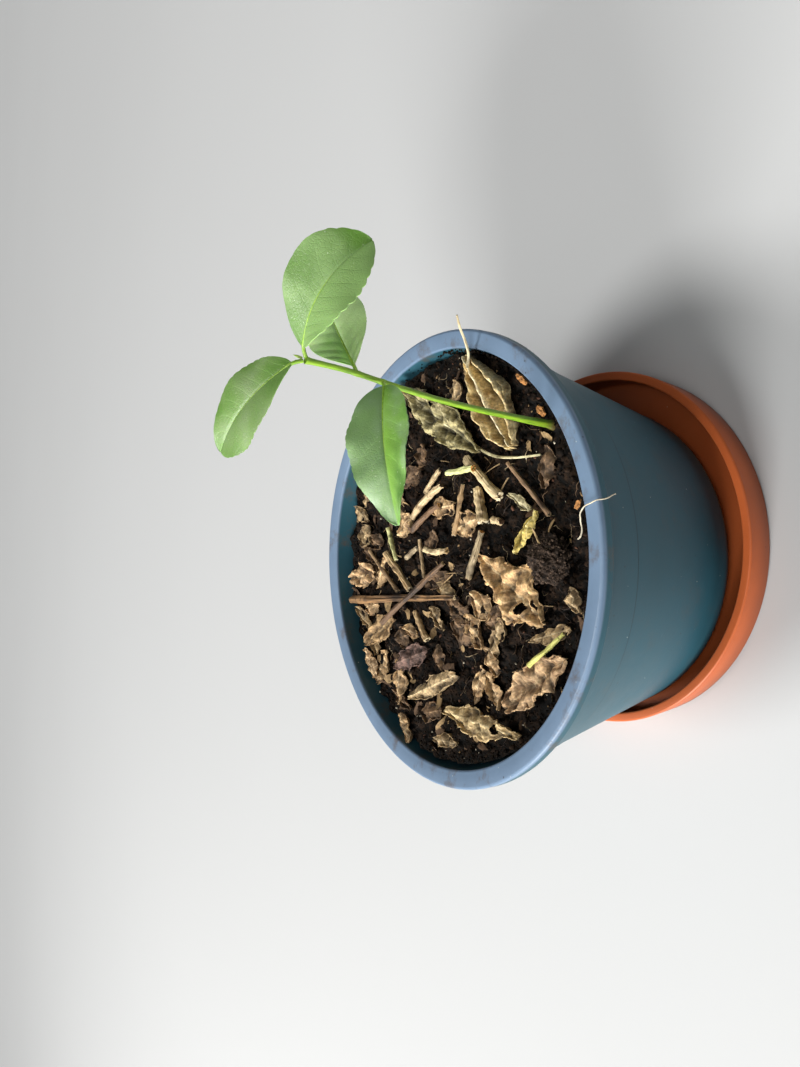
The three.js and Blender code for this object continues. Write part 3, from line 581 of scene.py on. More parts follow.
def thread(name, line, radii, steps, sides, ripple, ragged=0.0, seed=0.0):
    """A thin rippled rod that tapers from one radius to another. Lengths are in millimetres.

    The ripple is its depth, and how often it comes round the rod and along it.
    """
    first, last = radii
    depth, round_it, along_it = ripple
    return rod(name, to_frame(line), lambda s: mix(first, last, s) * MM, steps, sides,
               lambda s, angle: depth * MM * np.sin(round_it * angle + along_it * s), ragged * MM, seed)


def thicken(blade, thickness, side):
    """Gives a blade its thickness, half to each side of it or all to one side."""
    activate(blade)
    bpy.ops.object.modifier_add(type="SOLIDIFY")
    solid = blade.modifiers[-1]
    solid.thickness, solid.offset = thickness, side
    bpy.ops.object.modifier_apply(modifier=solid.name)


def join(pieces):
    """Joins pieces into the first and keeps each one's material."""
    activate(*pieces)
    bpy.ops.object.join()
    return pieces[0]


def paint(piece, *materials):
    for material in materials:
        piece.data.materials.append(material)
    return piece


def finish(piece, slot, angle, *materials, node=None):
    """Smooths a piece, gives it its materials and lets it stand for its node of the frame."""
    activate(paint(piece, *materials))
    bpy.ops.object.shade_smooth_by_angle(angle=math.radians(angle))
    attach(piece, "root")
    if node:
        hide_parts(node)
    return piece


def add_node(tree, kind, *values, inputs=None, out=0, stops=(), **settings):
    """Adds a shader node, and fills its sockets with values, colours or links, in turn or by name.

    A kind in capitals is an operation of the Math node.
    """
    if kind.isupper():
        kind, settings["operation"] = "Math", kind
    made = tree.nodes.new("ShaderNode" + kind)
    if kind == "Mix":
        made.data_type, out = "RGBA", MIX_RESULT
    for option, value in settings.items():
        setattr(made, option, value)
    for k, (place, tone) in enumerate(stops):
        elements = made.color_ramp.elements
        element = elements[k] if k < len(elements) else elements.new(1.0)
        element.position, element.color = place, rgba(tone)
    named = dict(zip(SOCKETS.get(kind, range(len(values))), values), **(inputs or {}))
    for socket, value in named.items():
        entry = made.inputs[socket]
        if isinstance(value, bpy.types.NodeSocket):
            tree.links.new(value, entry)
        else:
            entry.default_value = rgba(value) if entry.type == "RGBA" else value
    return made.outputs[out] if made.outputs else made


def new_material(name):
    """An empty material, and the function that adds a node to it."""
    material = bpy.data.materials.new(name)
    material.use_nodes = True
    material.node_tree.nodes.clear()
    return material, partial(add_node, material.node_tree)


def surface(material, **sockets):
    """Ends a material with its surface and the output."""
    inputs = {name.replace("_", " ").title().replace("Ior", "IOR"): value for name, value in sockets.items()}
    body = add_node(material.node_tree, "BsdfPrincipled", inputs=inputs)
    add_node(material.node_tree, "OutputMaterial", body)
    return material


def moulded_polypropylene(name, low, high, low_z, high_z, dust, smudged=0.0, seam_shade=None):
    """Moulded polypropylene: satin and slightly cloudy, with fine scratches, dust specks and soil smudges,
    two colours by height and, where given, a line of painted shade along a mould line.
    """
    material, node = new_material(name)
    place = node("TexCoord", out=3)
    height = node("SeparateXYZ", place, out=2)
    # The colour goes from low to high between two heights: on the pot the paler high colour is painted sheen
    # on the rim, and the saucer is darker towards its floor.
    band = node("MapRange", height, low_z, high_z, interpolation_type="SMOOTHSTEP")
    clouds = node("TexNoise", place, 1 / 0.03, 6, 0.65)
    shade = node("MapRange", clouds, 0, 1, 0.74, 1.22)
    colour = node("Mix", 1, node("Mix", band, low, high), shade, blend_type="MULTIPLY")
    # Soil leaves brown smudges on the rim and inside it.
    marks = node("TexNoise", place, 1 / 0.014, 7, 0.7)
    smudge = node("MapRange", marks, 0.54, 0.7, 0, smudged)
    high_up = node("MapRange", height, high_z - 0.012, high_z - 0.004, 0.25)
    colour = node("Mix", node("MULTIPLY", smudge, high_up), colour, 0x54463A)
    # Dust settles as pale specks of about 0.3 mm, and soil leaves darker ones of about 0.5 mm.
    specks = node("MapRange", node("TexVoronoi", place, 1 / 0.0062), 0.022, 0.05, dust, 0)
    colour = node("Mix", specks, colour, 0xC9CCC4)
    moved = node("Mapping", place, (1, 1, 1), (0.31, 0.17, 0.05))
    grit = node("MapRange", node("TexVoronoi", moved, 1 / 0.009), 0.025, 0.05, dust, 0)
    colour = node("Mix", grit, colour, 0x2A2420)
    scratches = node("TexNoise", node("Mapping", place, (1, 1, 9)), 1 / 0.006, 3)
    line = node("MapRange", scratches, 0.68, 0.76, 0, 0.07)
    colour = node("Mix", line, colour, tuple(min(1.0, c * 1.8 + 0.04) for c in high))
    # Painted shade: a dark line along the mould line's groove.
    if seam_shade:
        apart = node("ABSOLUTE", node("SUBTRACT", height, seam_shade))
        colour = node("Mix", node("MapRange", apart, 0, 0.0007, 1, 0), colour, scaled(low, 0.1))
    gloss = node("MapRange", clouds, 0.3, 0.7, 0.36, 0.48)
    bump = node("Bump", node("TexNoise", place, 1 / 0.0012, 2), 0.25, 0.0001)
    return surface(material, base_color=colour, roughness=gloss, normal=bump, ior=1.49,
                   specular_ior_level=0.3)


def peat(name, dark, brown, grain, crevice=False):
    """Moist peat: almost black where wet, brown where it dries, matt and fibrous, with painted shade that
    darkens its crevices.
    """
    material, node = new_material(name)
    place = node("TexCoord", out=3)
    mottle = node("TexNoise", place, 1 / grain, 6, 0.7)
    # Painted shade: the deeper a place lies in the soil's crevices, the darker its colour.
    if crevice:
        deep = node("Attribute", out=2, attribute_name="crevice")
        mottle = node("MULTIPLY_ADD", deep, -0.42, mottle)
    colour = node("ValToRGB", mottle, stops=(
        (0.26, scaled(dark, 0.25)), (0.44, dark), (0.6, brown), (0.8, scaled(brown, 2.4))))
    bump = node("Bump", node("TexNoise", place, 1 / 0.0006, 4), 0.9, 0.0004)
    damp = node("MapRange", mottle, 0, 1, 0.6, 1)
    return surface(material, base_color=colour, roughness=damp, normal=bump, specular_ior_level=0.12)


def green_bark(name, lit, shade):
    """Young green bark: smooth and waxy, with darker streaks along it and a brown foot."""
    material, node = new_material(name)
    place = node("TexCoord", out=3)
    height = node("SeparateXYZ", place, out=2)
    streaks = node("TexNoise", node("Mapping", place, (1, 1, 0.12)), 1 / 0.0009, 4)
    colour = node("ValToRGB", streaks, stops=((0.3, shade), (0.62, lit)))
    level = STEM_FOOT[2] * MM
    for start, end, share, tone in ((0.002, 0.014, 0.6, 0x6A7A1C), (0.001, 0.0045, 0.9, 0x4C3A1E)):
        colour = node("Mix", node("MapRange", height, level + start, level + end, share, 0), colour, tone)
    return surface(material, base_color=colour, roughness=0.42, normal=node("Bump", streaks, 0.35, 0.0001),
                   subsurface_weight=0.12, subsurface_radius=(0.4, 0.9, 0.2), subsurface_scale=0.0006)


def off_veins(node, bow, lean, patch, detail, stray, number):
    """Places along and across a leaf, and the distances from its midrib and from the next side vein."""
    uv = node("TexCoord", out=2)
    along, across = node("SeparateXYZ", uv), node("SeparateXYZ", uv, out=1)
    off_rib = node("ABSOLUTE", node("MULTIPLY_ADD", across, 2, -1))
    leaned = node("MULTIPLY_ADD", node("POWER", off_rib, bow), -lean, along)
    wander = node("TexNoise", node("TexCoord", out=3), 1 / patch, detail)
    saw = node("FRACT", node("MULTIPLY", node("MULTIPLY_ADD", wander, stray, leaned), number))
    return along, across, off_rib, node("ABSOLUTE", node("SUBTRACT", saw, 0.5))


def citrus_leaf(name, leaf, veins):
    """A waxy citrus leaf: satin upper skin, a pale midrib and side veins, and a fine net between them."""
    material, node = new_material(name)
    place = node("TexCoord", out=3)
    along, across, off_rib, off_vein = off_veins(node, 1.25, VEIN_LEAN, 0.009, 1, 0.035, veins)
    side_vein = node("MapRange", off_vein, 0, 0.085, 1, 0, interpolation_type="SMOOTHSTEP")
    side_vein = node("MULTIPLY", side_vein, node("MapRange", off_rib, 0.55, 0.95, 1, 0))
    rib_width = node("MapRange", along, 0, 1, 0.075, 0.02)
    rib = node("MapRange", off_rib, 0, rib_width, 1, 0, interpolation_type="SMOOTHSTEP")
    # The net of the finest veins has meshes of about 1.1 mm.
    net = node("TexVoronoi", place, 1 / 0.0011, feature="DISTANCE_TO_EDGE")
    mesh = node("MapRange", net, 0, 0.12, 1, 0)
    mottle = node("TexNoise", place, 1 / 0.012, 3)
    green = node("ValToRGB", mottle, stops=((0.36, leaf["deep"]), (0.52, leaf["mid"]), (0.74, leaf["bloom"])))
    # The tip and the foot are deeper green; at the tip this is painted shade where the blade turns away from
    # the light.
    tip = node("MapRange", along, leaf["tip_from"], leaf["tip_from"] + 0.1, 0, 0.75)
    foot = node("MapRange", along, 0.04, 0.22, 0.6, 0)
    colour = node("Mix", node("MAXIMUM", tip, foot), green, leaf["deep"])
    # Painted light: one half is paler as painted sheen, and a bright band beside the midrib is painted light
    # on that side of the fold.
    colour = node("Mix", node("MapRange", across, 0.46, 0.54, *leaf["waxy"]), colour, leaf["half"])
    fading = node("MapRange", across, 0.58, 0.8, leaf["band"], 0)
    band = node("MULTIPLY", node("MapRange", across, 0.5, 0.53), fading)
    colour = node("Mix", band, colour, 0x7EAE34)
    lines = node("MULTIPLY_ADD", mesh, 0.08, node("MULTIPLY", side_vein, 0.1))
    lines = node("MULTIPLY_ADD", rib, 0.75, lines, use_clamp=True)
    colour = node("Mix", lines, colour, tuple(min(1.0, c * 1.25 + 0.05) for c in linear(leaf["mid"])))
    # Tiny oil glands and dust show as pale dots about 0.2 mm wide.
    dust = node("MapRange", node("TexVoronoi", place, 1 / 0.0024), 0.06, 0.1, 0.5, 0)
    colour = node("Mix", dust, colour, 0xC4D4B4)
    relief = node("MULTIPLY_ADD", mesh, -0.35, node("MULTIPLY_ADD", side_vein, -0.32, mottle))
    gloss = node("MapRange", mottle, 0, 1, 0.36, 0.54)
    return surface(material, base_color=colour, roughness=gloss, normal=node("Bump", relief, 0.35, 0.00025),
                   specular_ior_level=0.6, coat_weight=leaf["coat"], coat_roughness=0.36,
                   subsurface_weight=0.15, subsurface_radius=(0.5, 1.0, 0.15), subsurface_scale=0.0008)


def dead_leaf(name, leaf):
    """A dead leaf: dry and papery, bleached on its ridges, brown in its folds, with pale raised veins."""
    material, node = new_material(name)
    place = node("TexCoord", out=3)
    _, _, off_rib, off_vein = off_veins(node, 1, 0.3, 0.006, 2, 0.12, leaf["length"] / 5)
    side_vein = node("MapRange", off_vein, 0, 0.09, 0.4, 0)
    veins = node("MAXIMUM", side_vein, node("MapRange", off_rib, 0, 0.08, 0.9, 0))
    mottle = node("TexNoise", place, 1 / 0.0045, 6, 0.62)
    tones = node("ValToRGB", mottle, stops=(
        (0.28, leaf["dark"]), (0.46, mid_tone(leaf)), (0.62, leaf["light"])))
    stain = node("MapRange", node("TexNoise", place, 1 / 0.0018, 3), 0.6, 0.72, 0, 0.65)
    colour = node("Mix", stain, node("Mix", veins, tones, leaf["vein"]), scaled(leaf["dark"], 0.35))
    # Painted shade and light: the colour darkens in a fold and brightens on a ridge.
    crest = node("MapRange", node("Attribute", out=2, attribute_name="crest"), 0.2, 0.8, 0.22, 1.25)
    grainy = node("MapRange", node("TexNoise", place, 1 / 0.0009, 4), 0.36, 0.62, 0.62, 1.15)
    for shade in (crest, grainy):
        colour = node("Mix", 1, colour, shade, blend_type="MULTIPLY")
    bump = node("Bump", node("MULTIPLY_ADD", veins, 0.6, mottle), 0.7, 0.0003)
    return surface(material, base_color=colour, roughness=0.82, normal=bump, subsurface_weight=0.08,
                   subsurface_radius=(1.0, 0.7, 0.4), subsurface_scale=0.0006)


def mid_tone(colours):
    return tuple((a + b) / 2 for a, b in zip(linear(colours["light"]), linear(colours["dark"])))


def dead_bark(name, colours):
    """Dry stem bark: fibrous, with grey and brown streaks along the stem and a few dark scars."""
    material, node = new_material(name)
    place = node("TexCoord", out=3)
    streaks = node("TexNoise", node("Mapping", node("TexCoord", out=2), (2, 14, 1)), 1.6, 6, 0.65)
    dull, dark = colours.get("dull", 0), colours["dark"]
    tones = node("ValToRGB", streaks, stops=(
        (0.34 + dull, dark), (0.42 + dull, mid_tone(colours)), (0.52 + dull, colours["light"])))
    # Wet soil has stained stretches of the bark.
    stain = node("MapRange", node("TexNoise", place, 1 / 0.009, 3), 0.5, 0.64, 0, 0.8)
    scar = node("MapRange", node("TexNoise", place, 1 / 0.0022, 2), 0.64, 0.7, 0, 0.75)
    colour = node("Mix", scar, node("Mix", stain, tones, scaled(dark, 0.55)), scaled(dark, 0.4))
    return surface(material, base_color=colour, roughness=0.6, normal=node("Bump", streaks, 0.9, 0.0004))


def plain_grain(name, tone, grain, rough=0.85, dark_to=0.32, light_from=0.58):
    """Small bits of bark, mineral or root: one colour, mottled at the size of the bit."""
    material, node = new_material(name)
    mottle = node("TexNoise", node("TexCoord", out=3), 1 / grain, 3)
    colour = node("ValToRGB", mottle, stops=((dark_to, scaled(tone, 0.45)), (light_from, tone)))
    return surface(material, base_color=colour, roughness=rough, normal=node("Bump", mottle, 0.6, 0.0002))


def cut_wood(name, tone):
    """The cut through a dry stem: pale and open-grained, with dark pores about half a millimetre apart."""
    return plain_grain(name, tone, 0.0005, dark_to=0.35, light_from=0.6)


class SEEDLING_OT_saucer(Operator):
    """Spins the saucer with its rolled rim"""

    bl_idname = "seedling.saucer"
    bl_label = "Saucer"

    def execute(self, context):
        pot = context.scene.seedling_pot
        foot, floor, rim_round = 1.4, 1.7, 0.8
        foot_radius = SAUCER_RADIUS - 1.5
        floor_top = POT_BASE - CLEARANCE
        rim = SAUCER_RADIUS - pot.saucer_rim / MM
        wall = pot.saucer_wall / MM
        outline = [
            (0, 0),
            *corner(foot_radius - foot, foot, foot, -90, 0, 6),
            *corner(SAUCER_RADIUS - rim_round, SAUCER_TOP - rim_round, rim_round, 0, 90, 6),
            *corner(rim + rim_round, SAUCER_TOP - rim_round - 0.15, rim_round, 90, 180, 5),
            (rim, SAUCER_TOP - 2.6),
            (SAUCER_RADIUS - wall, SAUCER_TOP - 4.2),
            *corner(foot_radius - wall - floor, floor_top + floor, floor, 0, -90, 6),
            (0, floor_top),
        ]
        piece = turned("saucer_shell", outline, pot.sides)
        deep = scaled(pot.saucer_tint, 0.62)
        plastic = moulded_polypropylene("saucer_polypropylene", deep, pot.saucer_tint, 0.0, 0.012, dust=0.3)
        finish(piece, "saucer", 30, plastic, node="saucer")
        return {"FINISHED"}


class SEEDLING_OT_pot(Operator):
    """Spins the pot with its rim, outer lip, mould line and rounded foot"""

    bl_idname = "seedling.pot"
    bl_label = "Pot"

    def execute(self, context):
        pot = context.scene.seedling_pot
        rim_width, wall = pot.rim_width / MM, pot.wall / MM
        lip_foot = POT_TOP - pot.lip_depth / MM
        foot_width, foot_height = FOOT_ROUND
        foot_top = POT_BASE + foot_height
        floor_top = POT_BASE + POT_FLOOR
        outer, inner = 1.3, 1.0
        rim_inner = POT_RADIUS - rim_width
        inner_foot = inner_radius(floor_top + FLOOR_ROUND, rim_width, wall)
        outline = [
            (0, POT_BASE),
            *corner(wall_radius(foot_top) - foot_width, foot_top, FOOT_ROUND, -90, 0, 9),
            *[(wall_radius(MOULD_LINE - MOULD_GROOVE[end]) - MOULD_GROOVE["depth"],
               MOULD_LINE - MOULD_GROOVE[end]) for end in ("foot", "top")],
            (wall_radius(MOULD_LINE), MOULD_LINE),
            (wall_radius(lip_foot - 1.2), lip_foot - 1.2),
            (wall_radius(lip_foot) + 0.2, lip_foot - 0.2),
            (wall_radius(lip_foot) + 0.9, lip_foot),
            *corner(POT_RADIUS - inner, lip_foot + inner, inner, -90, 0, 5),
            *corner(POT_RADIUS - outer, POT_TOP - outer, outer, 0, 90, 8),
            (rim_inner + 2.2, POT_TOP - RIM_FALL * 0.75),
            *corner(rim_inner + inner, POT_TOP - RIM_FALL - inner, inner, 90, 180, 6),
            (inner_radius(POT_TOP - 6, rim_width, wall), POT_TOP - 6),
            *corner(inner_foot - FLOOR_ROUND, floor_top + FLOOR_ROUND, FLOOR_ROUND, 0, -90, 8),
            (0, floor_top),
        ]
        piece = turned("pot_shell", outline, pot.sides, AXIS)
        # The rim's paler colour is painted sheen and begins just under its top, and the mould line gets a
        # dark line of painted shade in its groove.
        low_z, high_z, seam_shade = ((POT_TOP - 2.4) * MM, (POT_TOP - 1.1) * MM, (MOULD_LINE - 0.35) * MM)
        plastic = moulded_polypropylene("pot_polypropylene", pot.wall_tint, pot.rim_sheen_tint, low_z, high_z,
                                        dust=0.65, smudged=0.75, seam_shade=seam_shade)
        finish(piece, "pot", 30, plastic, node="pot")
        return {"FINISHED"}


class SEEDLING_OT_stem(Operator):
    """Rolls the stem with its root flare, leaf scars and tip bud"""

    bl_idname = "seedling.stem"
    bl_label = "Stem"

    def execute(self, context):
        plant = context.scene.seedling_plant
        rise = STEM_LINE[-1][2] - STEM_FOOT[2]
        joints = [(leaf["joint"] - STEM_FOOT[2]) / rise for leaf in LEAVES.values()]

        def relief(s, angle):
            flare = np.exp(-s * rise / 2.5) * 0.14 * np.sin(3 * angle + 1.0)
            ribs = 0.035 * np.sin(5 * angle + 4 * s) + 0.02 * np.sin(11 * angle - 9 * s)
            node = sum(0.14 * np.exp(-((s - joint) * rise / 1.1) ** 2) for joint in joints)
            return (flare + ribs + node) * MM

        def radius(s):
            return stem_radius(s * rise) * MM

        piece = rod("seedling_stem", to_frame(STEM_LINE), radius, 180, 28, relief)
        points = read_points(piece)
        points[:, 2] = np.maximum(points[:, 2], STEM_FOOT[2] * MM)
        write_points(piece, points)
        bark = green_bark("green_stem_bark", plant.stem_tint, plant.stem_shade)
        finish(piece, "stem", 60, bark, node="stem")

        def bud_radius(s):
            return BUD_RADIUS * MM * np.maximum(0.15, np.sin(np.pi * (0.25 + 0.72 * s)))

        bud = rod("seedling_bud", to_frame(BUD), bud_radius, 14, 14)
        pale = green_bark("bud_skin", 0xC6D87A, 0x9CBF4A)
        finish(bud, "stem", 60, pale, node="tip_bud")
        return {"FINISHED"}


def stem_radius(height):
    low = smooth(height / STEM_TAPER["low_over"])
    high = smooth((height - STEM_TAPER["high_from"]) / STEM_TAPER["high_over"])
    tip = smooth((height - STEM_TAPER["tip_from"]) / STEM_TAPER["tip_over"])
    lower = mix(STEM_RADIUS["foot"], STEM_RADIUS["low"], low)
    upper = mix(STEM_RADIUS["high"], STEM_RADIUS["tip"], tip)
    return mix(lower, upper, high) * 0.96 + ROOT_FLARE[0] * (1 - smooth(height / ROOT_FLARE[1]))


def stem_point(height):
    """The point of the stem's centre line at a height."""
    centre = stations(STEM_LINE, 200)[0]
    return np.array([np.interp(height, centre[:, 2], centre[:, i]) for i in range(3)])


def blade_directions(leaf):
    heading, rise, roll = (math.radians(leaf[key]) for key in ("heading", "rise", "roll"))
    ahead = np.array([math.cos(rise) * math.cos(heading), math.cos(rise) * math.sin(heading), math.sin(rise)])
    left = np.array([-math.sin(heading), math.cos(heading), 0])
    up = np.cross(ahead, left)
    return ahead, left * math.cos(roll) + up * math.sin(roll), up * math.cos(roll) - left * math.sin(roll)


def rib_at(leaf, s):
    """Points of the midrib at shares of its length, with the directions across and out of the blade."""
    ahead, side, normal = blade_directions(leaf)
    s = np.asarray(s, float)[:, None]
    bend = math.radians(leaf["droop"])
    reach = leaf["length"] / bend
    droop = ahead * np.sin(bend * s) - normal * (1 - np.cos(bend * s))
    point = np.array(leaf["base"]) + reach * droop + side * leaf["sweep"] * leaf["length"] * s ** 2
    lifted = ahead * np.sin(bend * s) + normal * np.cos(bend * s)
    twist = math.radians(leaf["twist"]) * s
    across = side * np.cos(twist) + lifted * np.sin(twist)
    out = lifted * np.cos(twist) - side * np.sin(twist)
    return point, across, out


def blade_half(leaf, s):
    full = np.sin(np.pi * np.clip(s, 0, 1) ** leaf["tip_shape"])
    return np.maximum(BLADE_TIP_HALF, leaf["width"] / 2 * np.maximum(full, 0) ** leaf["fullness"])


def grow_blade(leaf, s, t, veins):
    """Points of a leaf's blade by the frame's rule, with its teeth, quilting and wavy edge."""
    t = 2 * t - 1
    out_from_rib = np.abs(t)
    point, across, out = rib_at(leaf, s)
    saw = (s * leaf["teeth"]) % 1.0
    tooth = np.sin(np.pi * saw) ** 0.7 - 0.6
    edge = smooth((out_from_rib - 0.82) / 0.18) * smooth((s - 0.12) / 0.15)
    edge = edge * np.where((t > 0) & (s < 0.8), 1 - leaf["smooth_edge"], 1)
    reach = blade_half(leaf, s) * out_from_rib * (1 + leaf["tooth"] * tooth * edge)
    fold = np.radians(np.where(t > 0, leaf["fold_left"], leaf["fold_right"]))
    lift = reach * np.sin(fold) - leaf["cup"] * reach ** 2 / (leaf["width"] / 2)
    phase = (s - VEIN_LEAN * out_from_rib ** 1.25) * veins
    bulge = np.abs(np.sin(np.pi * (phase - 0.5))) - 0.5
    lift = lift + leaf["quilt"] * bulge * smooth(out_from_rib / 0.2) * (1 - 0.6 * out_from_rib)
    wave = np.sin(2 * np.pi * (leaf["waves"] * s + 0.15 * np.sign(t)))
    lift = lift + leaf["wave"] * wave * out_from_rib ** 2.5 * smooth(s / 0.3)
    lift = lift - 0.16 * np.exp(-(reach / 0.55) ** 2)
    sideways = np.sign(t) * reach * np.cos(fold)
    return point + across * sideways[:, None] + out * lift[:, None]


class SEEDLING_OT_leaves(Operator):
    """Grows the four leaves, each with its stalk and midrib"""

    bl_idname = "seedling.leaves"
    bl_label = "Leaves"

    def execute(self, context):
        plant = context.scene.seedling_plant
        stalk_skin = green_bark("leaf_stalk_skin", 0x9CC24A, 0x6E9A24)
        for node, leaf in LEAVES.items():
            blade = grid(node + "_blade", *BLADE_STEPS,
                         lambda s, t: to_frame(grow_blade(leaf, s, t, plant.veins)))
            thicken(blade, plant.blade, 0.0)
            paint(blade, citrus_leaf(node + "_skin", leaf, plant.veins))
            joint = stem_point(leaf["joint"])
            base = np.array(leaf["base"])
            to_base = (base - joint) / np.linalg.norm(base - joint)
            start = joint + to_base * (stem_radius(leaf["joint"] - STEM_FOOT[2]) - 0.1)
            ribs, across, out = rib_at(leaf, RIB_STOPS)
            line = [start, base - blade_directions(leaf)[2] * 0.1, *(ribs - out * 0.24)]

            def radius(s):
                near = mix(STALK_JOINT, STALK_BLADE, s / STALK_SHARE)
                far = mix(STALK_BLADE, STALK_END, (s - STALK_SHARE) / (1 - STALK_SHARE))
                return np.where(s < STALK_SHARE, near, far) * MM

            stalk = rod(node + "_stalk", to_frame(line), radius, *STALK_STEPS)
            piece = join([blade, paint(stalk, stalk_skin)])
            piece.name = "seedling_" + node
            finish(piece, "leaf", 50, node=node)
        return {"FINISHED"}


def creases(flat, seed, longest, spread):
    """Crumpled folds from 0 in a valley to 1 on a ridge, turned by up to a share of a half turn."""
    random = np.random.default_rng(seed)
    warp = roughness(flat, longest * 1.3, 2, seed) * 0.45
    total, weight = 0, 0
    for k in range(CREASE_SIZES):
        size = longest * CREASE_SHARE ** k
        turn = math.pi / 2 * (1 + spread * random.uniform(-1, 1))
        row = (flat[:, 0] * math.cos(turn) + flat[:, 1] * math.sin(turn)) / size + warp + random.uniform()
        total = total + np.abs(2 * (row % 1) - 1) * size
        weight += size
    return total / weight


def dry_steps(leaf):
    return max(DRY_LEAST_STEPS, round(leaf["length"] / DRY_STEP))


def dry_frame(leaf, seed, s, t):
    """A dead leaf by the frame's own rule: half width and lift at each point, t from -1 to 1."""
    steps = dry_steps(leaf)
    rows = np.arange(steps + 1)
    torn = np.interp(s * steps, rows, [scatter(i, seed) for i in rows])
    drift = np.interp(s * steps, rows, [scatter(seed, i) for i in rows])
    shape = DRY_OUTLINE
    taper = np.sin(np.pi * (shape["start"] + shape["over"] * s)) ** shape["fullness"]
    outline = np.maximum(shape["least"], taper)
    half = leaf["width"] / 2 * outline * (1 + DRY_RAGGED * torn * np.abs(t))
    drift = drift * leaf.get("drift", 1.0)
    pleat = (1 - np.cos(np.pi * (leaf["pleats"] * (t + 1) + drift / 2))) / 2
    return half, pleat, leaf["height"] * pleat * mix(shape["flat"], 1, outline)


def lay(leaf, s, v):
    """Places on the soil of points along and across a dead leaf."""
    heading = math.radians(leaf["heading"])
    u = leaf["length"] * (s - 0.5)
    x = leaf["at"][0] + math.cos(heading) * u - math.sin(heading) * v
    return x, leaf["at"][1] + math.sin(heading) * u + math.cos(heading) * v


def frame_shift(node, leaf, seed):
    """How far the frame lifted a dead leaf to lay it on the soil."""
    steps = dry_steps(leaf)
    columns = 4 * leaf["pleats"]
    i, j = (k.ravel() for k in np.mgrid[:steps + 1, :columns + 1])
    s, t = i / steps, 2 * j / columns - 1
    half, _, lift = dry_frame(leaf, seed, s, t)
    crumple = np.array([scatter(a + seed, b) for a, b in zip(i.tolist(), j.tolist())])
    height = bed_top(*lay(leaf, s, half * t)) + lift + DRY_CRUMPLE * (1 + crumple) * leaf["height"]
    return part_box(node)[0].z / MM - height.min()


def dry_surface(leaf, seed, s, t, crease, shift):
    """Points of a dead leaf: the frame's pleats with crumpled folds, torn lobes and curled edges, and for
    each point how far it is from a fold to a ridge, for its painted shade and light.
    """
    t = 2 * t - 1
    half, pleat, lift = dry_frame(leaf, seed, s, t)
    out, side = np.abs(t), np.sign(t)
    edge = np.column_stack([s * leaf["length"], side * 40, np.full_like(s, seed * 31.0)])
    torn = leaf.get("lobes", 0.3)
    lobes = 1 + torn * (roughness(edge, 9.0, 2, 5.0) + 0.6 * roughness(edge, 2.2, 2, 6.0))
    half = half * mix(1, np.clip(lobes, 0.45, 1.3), smooth(out / 0.7))
    half = half * np.interp(s, (0, 0.3, 1), leaf.get("profile", (1.1, 1.25, 1.1)))
    flat = np.column_stack([s * leaf["length"], half * t, np.full_like(s, seed * 31.0)])
    folds = creases(flat, seed, leaf.get("fold", 8.0), leaf.get("spread", 1.0))
    wavy = 0.75 + (0.3 + torn) * roughness(edge, 8.0, 1, 7.0)
    roll = np.clip(wavy, 0, 1.4) * smooth((out - 0.5) / 0.5) ** 1.5
    ends = smooth((np.abs(2 * s - 1) - 0.72) / 0.28)
    x, y = lay(leaf, s, half * t * (1 - 0.3 * roll))
    lift = lift + leaf["height"] * leaf.get("deepen", 0.0) * (pleat - 0.5) + crease * 4.6 * (folds - 0.5)
    lift = lift + leaf.get("curl", 1.8) * (roll + 0.7 * ends * (0.5 + roughness(edge, 11.0, 1, 8.0)))
    lift = lift + 0.3 * np.exp(-(half * t / 0.6) ** 2)
    z = bed_top(x, y) + lift + shift + leaf["height"] * DRY_CRUMPLE
    # Painted shade and light: 0 in a fold's shade, 1 on a lit ridge.
    crest = np.clip((0.25 + leaf.get("deepen", 0.0)) * (pleat - 0.5) + 1.5 * folds - 0.2 + 0.3 * roll, 0, 1)
    return np.column_stack([x, y, z]), crest


def cut_holes(piece, holes):
    """Deletes the faces of a dead leaf that lie in its holes, before it gets its thickness."""

    def holed(face):
        corners = [piece.data.uv_layers[0].data[i].uv for i in face.loop_indices]
        s, t = np.mean(corners, axis=0)
        edge = 1 + 0.35 * noise.noise(Vector((s * 40, t * 9, 3.3)))
        return any(math.hypot((s - middle) / half_length, (2 * t - 1 - across) / half_width) < edge
                   for middle, across, half_length, half_width in holes)

    edit_faces(piece, holed)
    bpy.ops.mesh.delete(type="FACE")
    set_mode("OBJECT")


def dry_blade(name, steps, columns, surface_at, holes, thickness, skin):
    """A dead leaf or a scrap of one, with its holes, its thickness and the fold-to-ridge values that paint
    shade and light in its material.
    """
    crest_shades = []

    def place(s, t):
        points, crest = surface_at(s, t)
        crest_shades.append(crest)
        return to_frame(points)

    piece = grid(name, steps, columns, place)
    give(piece, "crest", crest_shades[0])
    if holes:
        cut_holes(piece, holes)
    thicken(piece, thickness, 1.0)
    return paint(piece, skin)


